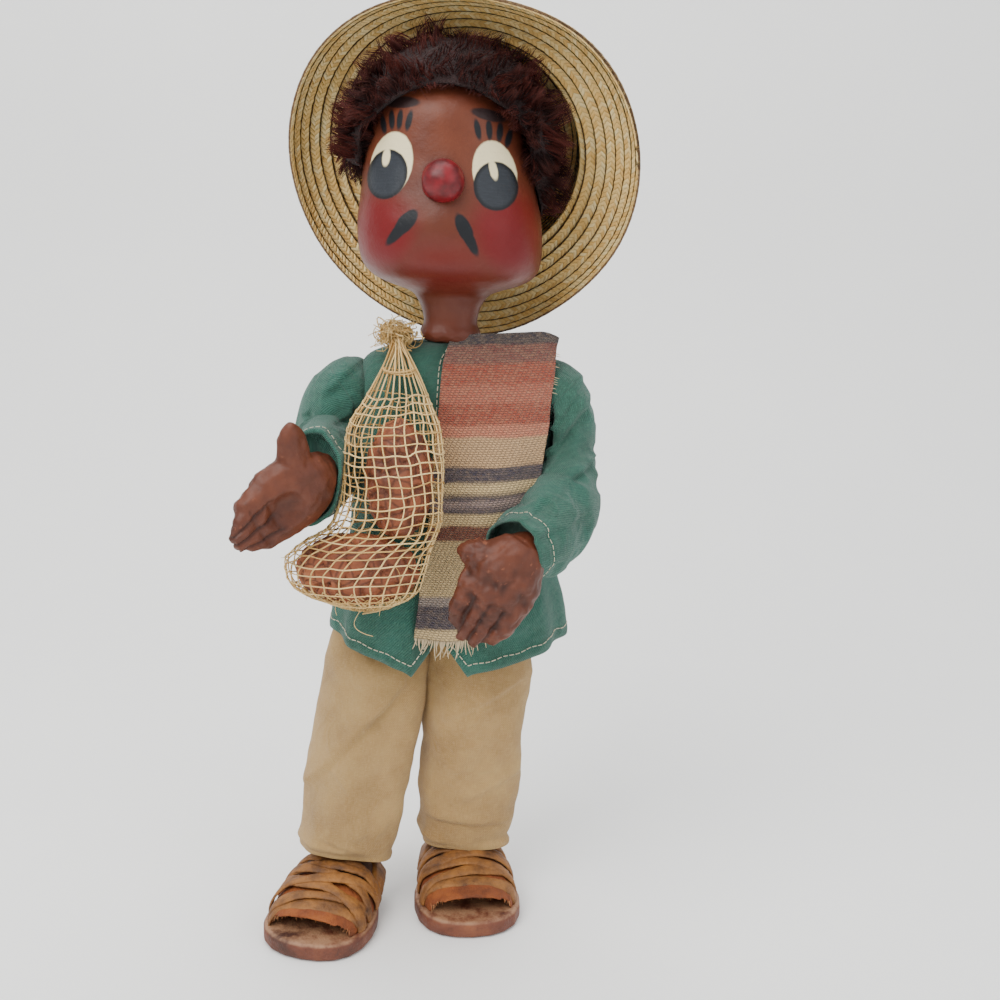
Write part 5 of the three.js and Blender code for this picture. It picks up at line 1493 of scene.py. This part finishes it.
def build_net(grid, lattice, string, rng):
    """The net's strings: up and round the bag with a knot at each crossing, drawn in above and below."""
    columns = lattice.shape[1]
    paths, radii, lots = [], [], []

    def add(points, size, lot):
        paths.append(np.array(points))
        radii.append(np.broadcast_to(size, (len(points),)))
        lots.append(lot)

    for column in np.moveaxis(lattice, 1, 0):
        add(curve(column, 3 * (len(column) - 1)), rng.uniform(0.27, 0.36), rng.random())
    for ring in lattice:
        closed = np.vstack([ring, ring[:3]])
        smooth = curve(closed, 3 * (len(closed) - 1))
        out = unit(smooth - smooth.mean(axis=0)) * 0.3
        add(smooth[:-6] + out[:-6], rng.uniform(0.24, 0.34), rng.random())
        for here in ring:
            spin = unit(rng.normal(0, 1, 3)) * 0.5
            add([here - spin, here, here + spin], (0.34, 0.56, 0.34), rng.random())
    steps = np.linspace(0, 1, 7)[:, None]
    for low, top in zip(lattice[0], lattice[-1]):
        waist = np.array(TIE) + (top - lattice[-1].mean(axis=0)) * 0.62 + rng.normal(0, 0.3, 3)
        end = np.array(KNOT) + rng.normal(0, 1.2, 3)
        path = (1 - steps)**2 * top + 2 * steps * (1 - steps) * waist + steps**2 * end
        add(path, 0.34, rng.random())
        bottom = grid[0].mean(axis=0) + rng.normal(0, 1.8, 3)
        add([low, (low + bottom) / 2 + np.array([0, 0, -0.7]), bottom], 0.34, rng.random())
    low_grid = grid[: int(BAG_TALL * 0.16)]
    for i in range(9):
        for j in range(columns * 2):
            here = grid_point(low_grid, i * 2.4 + rng.normal(0, 0.3), j * BAG_FINE / columns / 2)
            aside = 0.5 if (i + j) % 2 else -0.5
            there = grid_point(low_grid, (i + 1) * 2.4, (j + aside) * BAG_FINE / columns / 2)
            add([here, (here + there) / 2, there], 0.24, rng.random())
    net = strands("net_bag_string", paths, radii, string, sides=5, lots=lots)
    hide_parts("net_bag")
    return net


def build_loose_ends(grid, lattice, count, string, rng):
    """Frayed ends in front, and one long thread that hangs from the bottom."""
    centre = grid.mean(axis=(0, 1))
    columns = lattice.shape[1]
    steps = np.linspace(0, 1, 6)[:, None]
    ends, radii = [], []
    for _ in range(count):
        root = lattice[rng.choice([0, 0, 1, 2, 5, 9]), rng.integers(columns)]
        if root[1] > centre[1] + 4:
            continue
        length = rng.uniform(3, 9)
        down = np.array([rng.normal(0, 0.5), rng.normal(-0.12, 0.2), -0.6])
        curl = rng.normal(0, 0.5, 3) * np.array([1, 0.4, 1])
        ends.append(root + down * length * steps + curl * length * steps**2)
        radii.append(rng.uniform(0.1, 0.2) * np.array([1, 1, 1, 0.9, 0.8, 0.4]))
    share = np.linspace(0, 1, 26)[:, None]
    hang = lattice[0, int(columns * 0.28)]
    ends.append(hang + np.array([5.5, -0.6, -9.5]) * share + np.array([4.5, 0, 0]) * np.sin(share * 7) * share
                + np.array([0, 0, 2.5]) * np.sin(share * 5))
    radii.append(np.full(26, 0.14))
    return strands("net_bag_loose_ends", ends, radii, string)


def build_tie(string):
    """Three laps of string round the bag's neck."""
    turn = np.linspace(0, 2 * math.pi, 40)
    coils = []
    for lap in range(3):
        z = TIE[2] - 0.9 + lap * 0.8
        coils.append(np.stack([TIE[0] + 6.3 * np.cos(turn), TIE[1] + 4.9 * np.sin(turn) - (z - TIE[2]) * 0.7,
                               z + 0.5 * np.sin(turn * 2 + lap)], -1))
    tie = strands("bag_tie_string", coils, [0.38] * 3, string, sides=6)
    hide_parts("bag_tie")
    return tie


def build_knot(count, string, rng):
    """A tangle of curled string with ends that stand out, and one open loop."""
    steps = np.linspace(0, 1, 12)[:, None]
    tangle, radii = [], []
    for _ in range(count):
        axis = unit(rng.normal(0, 1, 3) + np.array([0.5, -0.3, 0.2]))
        side = unit(np.cross(axis, rng.normal(0, 1, 3)))
        other = np.cross(axis, side)
        middle = np.array(KNOT) + rng.normal(0, 1.6, 3) * np.array([1.8, 0.8, 0.9])
        size = rng.uniform(1.8, 5.0)
        sweep = np.linspace(0, rng.uniform(2.5, 5.5), 12)[:, None] + rng.uniform(0, 6)
        path = middle + (np.cos(sweep) * side + np.sin(sweep) * other) * size
        path = path + axis * (sweep - sweep[0]) * rng.normal(0, 0.5)
        if rng.random() < 0.34:
            out = unit(np.array([rng.normal(-0.6, 1), -abs(rng.normal(0, 0.7)), rng.normal(0.25, 0.6)]))
            path = middle + out * rng.uniform(5, 10) * steps + rng.normal(0, 2.6, 3) * steps**2
        path[:, 2] = np.clip(path[:, 2], 253.6, 269.5)
        tangle.append(path)
        radii.append(rng.uniform(0.16, 0.4) * np.linspace(1.1, 0.5, 12))
    share = np.linspace(0, 1, 14)[:, None]
    tangle.append(np.array(KNOT) + np.array([-7.5, -2.0, 3.0]) * np.sin(share * 3.0)
                  + np.array([-2, 0, 4.5]) * np.sin(share * 6))
    radii.append(np.full(14, 0.3))
    knot = strands("bag_knot_string", tangle, radii, string)
    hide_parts("bag_knot")
    return knot


def build_wares():
    """Two crumpled lumps that fill the net."""
    pulp = shrivelled_wares()
    wares = []
    for name, seed in (("upper_wares", 51), ("lower_wares", 52)):
        lump = moulded(f"{name}_lumps", name, pulp, voxel=1.1, rounds=4, swell=1.5)

        def crumple(points, normals, seed=seed):
            fold = np.abs(ripple(points, 0.13, 1.0, seed)) + 0.6 * np.abs(ripple(points, 0.33, 1.0, seed + 3))
            return points - normals * (3.0 * np.clip(1 - 2.4 * fold, 0, 1) ** 1.5)[:, None]

        wares.append(move_vertices(lump, crumple))
    return wares


def build_bag(settings):
    """A netted string bag, drawn in at a tie and hung from a knot, with its contents in it."""
    string = net_string()
    grid = bag_skin(BAG_FINE, BAG_TALL)
    rng = np.random.default_rng(21)
    lattice = net_lattice(grid, settings.columns, settings.mesh_size, rng)
    net = build_net(grid, lattice, string, rng)
    loose = build_loose_ends(grid, lattice, settings.loose_ends, string, rng)
    tie = build_tie(string)
    knot = build_knot(settings.knot_fibres, string, rng)
    return [net, loose, tie, knot, *build_wares()]


def build_core():
    """Wood for the neck's dowel and steel for the shoulder wire."""
    for node, finish in (("neck_dowel", turned_wood()), ("shoulder_wire", drawn_wire())):
        for slot in frame["nodes"][node].material_slots:
            slot.material = finish


# Stage


def build_backdrop():
    """A floor that curves up into a wall behind the doll."""
    half, back, radius, top = 1.6, 0.35, 0.35, 1.6
    curve_up = [(back + radius * math.sin(t), radius - radius * math.cos(t))
                for t in np.linspace(0.1, math.pi / 2, 14)]
    rows = [(-1.2, 0.0), (back, 0.0), *curve_up, (back + radius, top)]
    points = [(x, y, z) for y, z in rows for x in (-half, half)]
    faces = [(2 * i, 2 * i + 1, 2 * i + 3, 2 * i + 2) for i in range(len(rows) - 1)]
    mesh = bpy.data.meshes.new("backdrop")
    mesh.from_pydata(points, [], faces)
    mesh.polygons.foreach_set("use_smooth", [True] * len(faces))
    mesh.materials.append(studio_ground())
    cove = link("backdrop", mesh)
    cove.location.z = -0.0004
    return cove


def build_lights(settings):
    """Three softboxes that face the doll, and even light from all round."""
    target = (0, 0, 0.22)

    def lamp(name, power, size, at, color=(1, 1, 1)):
        light = bpy.data.lights.new(name, "AREA")
        light.shape = "RECTANGLE"
        light.size, light.size_y = size
        light.energy = power
        light.color = color
        holder = link(name, light)
        holder.location = at
        holder.rotation_euler = (Vector(target) - Vector(at)).to_track_quat("-Z", "Y").to_euler()

    lamp("key softbox", settings.key_power, (0.9, 0.9), (-0.55, -0.75, 1.15), (1, 0.985, 0.96))
    lamp("fill softbox", settings.fill_power, (1.0, 1.2), (0.95, -0.75, 0.7))
    lamp("top softbox", settings.top_power, (1.2, 1.2), (0, 0.15, 1.5))
    world = bpy.data.worlds.new("studio")
    world.use_nodes = True
    background = world.node_tree.nodes["Background"]
    background.inputs[0].default_value = (0.95, 0.97, 1.0, 1)
    background.inputs[1].default_value = settings.room_light
    bpy.context.scene.world = world


def build_camera(settings):
    """The photograph's camera: above the doll's middle, looking down and a little rolled."""
    pitch, roll = math.radians(12), math.radians(2.25)
    right = Vector((1, 0, 0))
    upward = Vector((0, math.sin(pitch), math.cos(pitch)))
    forward = Vector((0, math.cos(pitch), -math.sin(pitch)))
    tilted_right = math.cos(roll) * right + math.sin(roll) * upward
    tilted_up = -math.sin(roll) * right + math.cos(roll) * upward
    turn = Matrix((tilted_right, tilted_up, -forward)).transposed().to_4x4()
    camera_data = bpy.data.cameras.new("photograph")
    camera_data.lens = settings.lens
    camera_data.sensor_width = 36
    camera = link("photograph", camera_data)
    camera.matrix_world = Matrix.Translation(Vector(place((22, -518, 299)))) @ turn
    bpy.context.scene.camera = camera


def build_stage(settings):
    """The studio round the doll."""
    cove = build_backdrop()
    build_lights(settings)
    build_camera(settings)


# Properties, operators and panel


class DollHatSettings(bpy.types.PropertyGroup):
    braid_rows: bpy.props.IntProperty(
        name="Braid rows", description="Rows of plait from the rim to the crown's middle",
        default=22, min=8, max=30)


class DollHairSettings(bpy.types.PropertyGroup):
    hairs: bpy.props.IntProperty(
        name="Hairs", description="Number of hairs in the fur wig", default=9500, min=200, max=20000)
    tufts: bpy.props.IntProperty(
        name="Tufts", description="Number of tufts that the hairs gather in", default=230, min=10, max=2000)


class DollShirtSettings(bpy.types.PropertyGroup):
    cloth: bpy.props.FloatVectorProperty(
        name="Cloth", description="Colour of the shirt's cotton", default=(0.132, 0.345, 0.298),
        size=3, min=0, max=1, subtype="COLOR_GAMMA")
    fold: bpy.props.FloatProperty(
        name="Fold depth", description="How far the folds stand out at the hem, in millimetres",
        default=1.5, min=0, max=4)
    thick: bpy.props.FloatProperty(
        name="Thickness", description="Thickness of the turned hem, in millimetres",
        default=1.2, min=0.4, max=3)


class DollSerapeSettings(bpy.types.PropertyGroup):
    thick: bpy.props.FloatProperty(
        name="Thickness", description="Thickness of the woven strip, in millimetres",
        default=1.8, min=0.6, max=4)


class DollTrouserSettings(bpy.types.PropertyGroup):
    leg_length: bpy.props.FloatProperty(
        name="Leg length", description="From the hip to the trouser hem", default=0.1065,
        min=0.08, max=0.13, subtype="DISTANCE", unit="LENGTH")


class DollBagSettings(bpy.types.PropertyGroup):
    columns: bpy.props.IntProperty(
        name="Net columns", description="Meshes of the net round the bag", default=27, min=12, max=60)
    mesh_size: bpy.props.FloatProperty(
        name="Mesh size", description="Height of one mesh of the net", default=0.0041, min=0.002, max=0.01,
        subtype="DISTANCE", unit="LENGTH")
    loose_ends: bpy.props.IntProperty(
        name="Loose ends", description="Frayed strings that hang from the net", default=26, min=0, max=200)
    knot_fibres: bpy.props.IntProperty(
        name="Knot fibres", description="String ends that stand out of the knot",
        default=210, min=10, max=800)


class DollStageSettings(bpy.types.PropertyGroup):
    lens: bpy.props.FloatProperty(
        name="Lens", description="Focal length of the camera on a 36 mm sensor",
        default=43.2, min=20, max=200, unit="CAMERA")
    key_power: bpy.props.FloatProperty(
        name="Key power", description="Power of the softbox at the left",
        default=19, min=0, max=500, unit="POWER")
    fill_power: bpy.props.FloatProperty(
        name="Fill power", description="Power of the softbox at the right",
        default=5, min=0, max=500, unit="POWER")
    top_power: bpy.props.FloatProperty(
        name="Top power", description="Power of the softbox above",
        default=15, min=0, max=500, unit="POWER")
    room_light: bpy.props.FloatProperty(
        name="Room light", description="Strength of the even light of the box", default=0.75, min=0, max=5)


class DOLL_OT_head(bpy.types.Operator):
    """Models the painted head and nose"""
    bl_idname = "doll.build_head"
    bl_label = "Head"

    def execute(self, context):
        for piece in build_head():
            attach(piece, "head")
        return {"FINISHED"}


class DOLL_OT_hair(bpy.types.Operator):
    """Plants the fur wig"""
    bl_idname = "doll.build_hair"
    bl_label = "Hair"

    def execute(self, context):
        for piece in build_hair(context.scene.doll_hair):
            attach(piece, "head")
        return {"FINISHED"}


class DOLL_OT_hat(bpy.types.Operator):
    """Winds and sews the straw hat"""
    bl_idname = "doll.build_hat"
    bl_label = "Hat"

    def execute(self, context):
        hat = build_hat(context.scene.doll_hat)
        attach(hat, "head")
        return {"FINISHED"}


class DOLL_OT_shirt(bpy.types.Operator):
    """Sews the shirt's body and sleeves"""
    bl_idname = "doll.build_shirt"
    bl_label = "Shirt"

    def execute(self, context):
        body, cotton, thread = build_shirt(context.scene.doll_shirt)
        for piece in body:
            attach(piece, "torso")
        for side, cloth, shoulder, sewn in build_sleeves(cotton, thread):
            sleeve = SLEEVES[side]
            upper, lower = sleeve["bodies"]
            sign = 1 if side == "left" else -1
            tuple(place((sign * 38, 0, 238)))
            tuple(place((sign * 47, 0, 236)))
            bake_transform(shoulder)
            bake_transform(cloth)
            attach(sewn, lower)
        return {"FINISHED"}


class DOLL_OT_serape(bpy.types.Operator):
    """Weaves the striped strip and its fringe"""
    bl_idname = "doll.build_serape"
    bl_label = "Serape"

    def execute(self, context):
        for piece in build_serape(context.scene.doll_serape):
            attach(piece, "torso")
        return {"FINISHED"}


class DOLL_OT_hands(bpy.types.Operator):
    """Moulds both hands"""
    bl_idname = "doll.build_hands"
    bl_label = "Hands"

    def execute(self, context):
        for piece, side in zip(build_hands(moulded_hands()), ("right", "left")):
            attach(piece, f"{side}_forearm")
        return {"FINISHED"}


class DOLL_OT_trousers(bpy.types.Operator):
    """Sews the trousers"""
    bl_idname = "doll.build_trousers"
    bl_label = "Trousers"

    def execute(self, context):
        legs, seat = build_trousers(context.scene.doll_trousers)
        for side, cloth in legs:
            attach(cloth, f"{side}_leg")
        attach(seat, "torso")
        return {"FINISHED"}


class DOLL_OT_sandals(bpy.types.Operator):
    """Makes the leather sandals"""
    bl_idname = "doll.build_sandals"
    bl_label = "Sandals"

    def execute(self, context):
        for side, pieces in build_sandals():
            for piece in pieces:
                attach(piece, f"{side}_leg")
        return {"FINISHED"}


class DOLL_OT_bag(bpy.types.Operator):
    """Knots the net bag and fills it"""
    bl_idname = "doll.build_bag"
    bl_label = "Net Bag"

    def execute(self, context):
        for piece in build_bag(context.scene.doll_bag):
            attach(piece, "bag")
        return {"FINISHED"}


class DOLL_OT_core(bpy.types.Operator):
    """Finishes the dowel and the wire"""
    bl_idname = "doll.finish_core"
    bl_label = "Core"

    def execute(self, context):
        build_core()
        return {"FINISHED"}


class DOLL_OT_stage(bpy.types.Operator):
    """Sets the backdrop, the lights and the camera"""
    bl_idname = "doll.build_stage"
    bl_label = "Stage"

    def execute(self, context):
        build_stage(context.scene.doll_stage)
        return {"FINISHED"}


OPERATORS = (DOLL_OT_head, DOLL_OT_hair, DOLL_OT_hat, DOLL_OT_shirt, DOLL_OT_serape, DOLL_OT_hands,
             DOLL_OT_trousers, DOLL_OT_sandals, DOLL_OT_bag, DOLL_OT_core, DOLL_OT_stage)
SETTINGS = {
    "doll_hat": DollHatSettings,
    "doll_hair": DollHairSettings,
    "doll_shirt": DollShirtSettings,
    "doll_serape": DollSerapeSettings,
    "doll_trousers": DollTrouserSettings,
    "doll_bag": DollBagSettings,
    "doll_stage": DollStageSettings,
}


class DOLL_PT_panel(bpy.types.Panel):
    """Lists the doll's pieces and their settings"""
    bl_idname = "DOLL_PT_panel"
    bl_label = "Folk Doll"
    bl_space_type = "VIEW_3D"
    bl_region_type = "UI"
    bl_category = "Folk Doll"

    def draw(self, context):
        for name, group in SETTINGS.items():
            box = self.layout.box()
            for key in group.__annotations__:
                box.prop(getattr(context.scene, name), key)
        for operator in OPERATORS:
            self.layout.operator(operator.bl_idname)


CLASSES = (*SETTINGS.values(), *OPERATORS, DOLL_PT_panel)


def register():
    """Registers the classes and puts each group of settings on the scene."""
    for item in CLASSES:
        bpy.utils.register_class(item)
    for name, group in SETTINGS.items():
        setattr(bpy.types.Scene, name, bpy.props.PointerProperty(type=group))


def unregister():
    """Takes off what register added."""
    for name in SETTINGS:
        delattr(bpy.types.Scene, name)
    for item in reversed(CLASSES):
        bpy.utils.unregister_class(item)


def main():
    """Registers the add-on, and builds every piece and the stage."""
    register()
    bpy.ops.doll.build_head()
    bpy.ops.doll.build_hair()
    bpy.ops.doll.build_hat()
    bpy.ops.doll.build_shirt()
    bpy.ops.doll.build_serape()
    bpy.ops.doll.build_hands()
    bpy.ops.doll.build_trousers()
    bpy.ops.doll.build_sandals()
    bpy.ops.doll.build_bag()
    bpy.ops.doll.finish_core()
    bpy.ops.doll.build_stage()


if __name__ == "__main__":
    main()
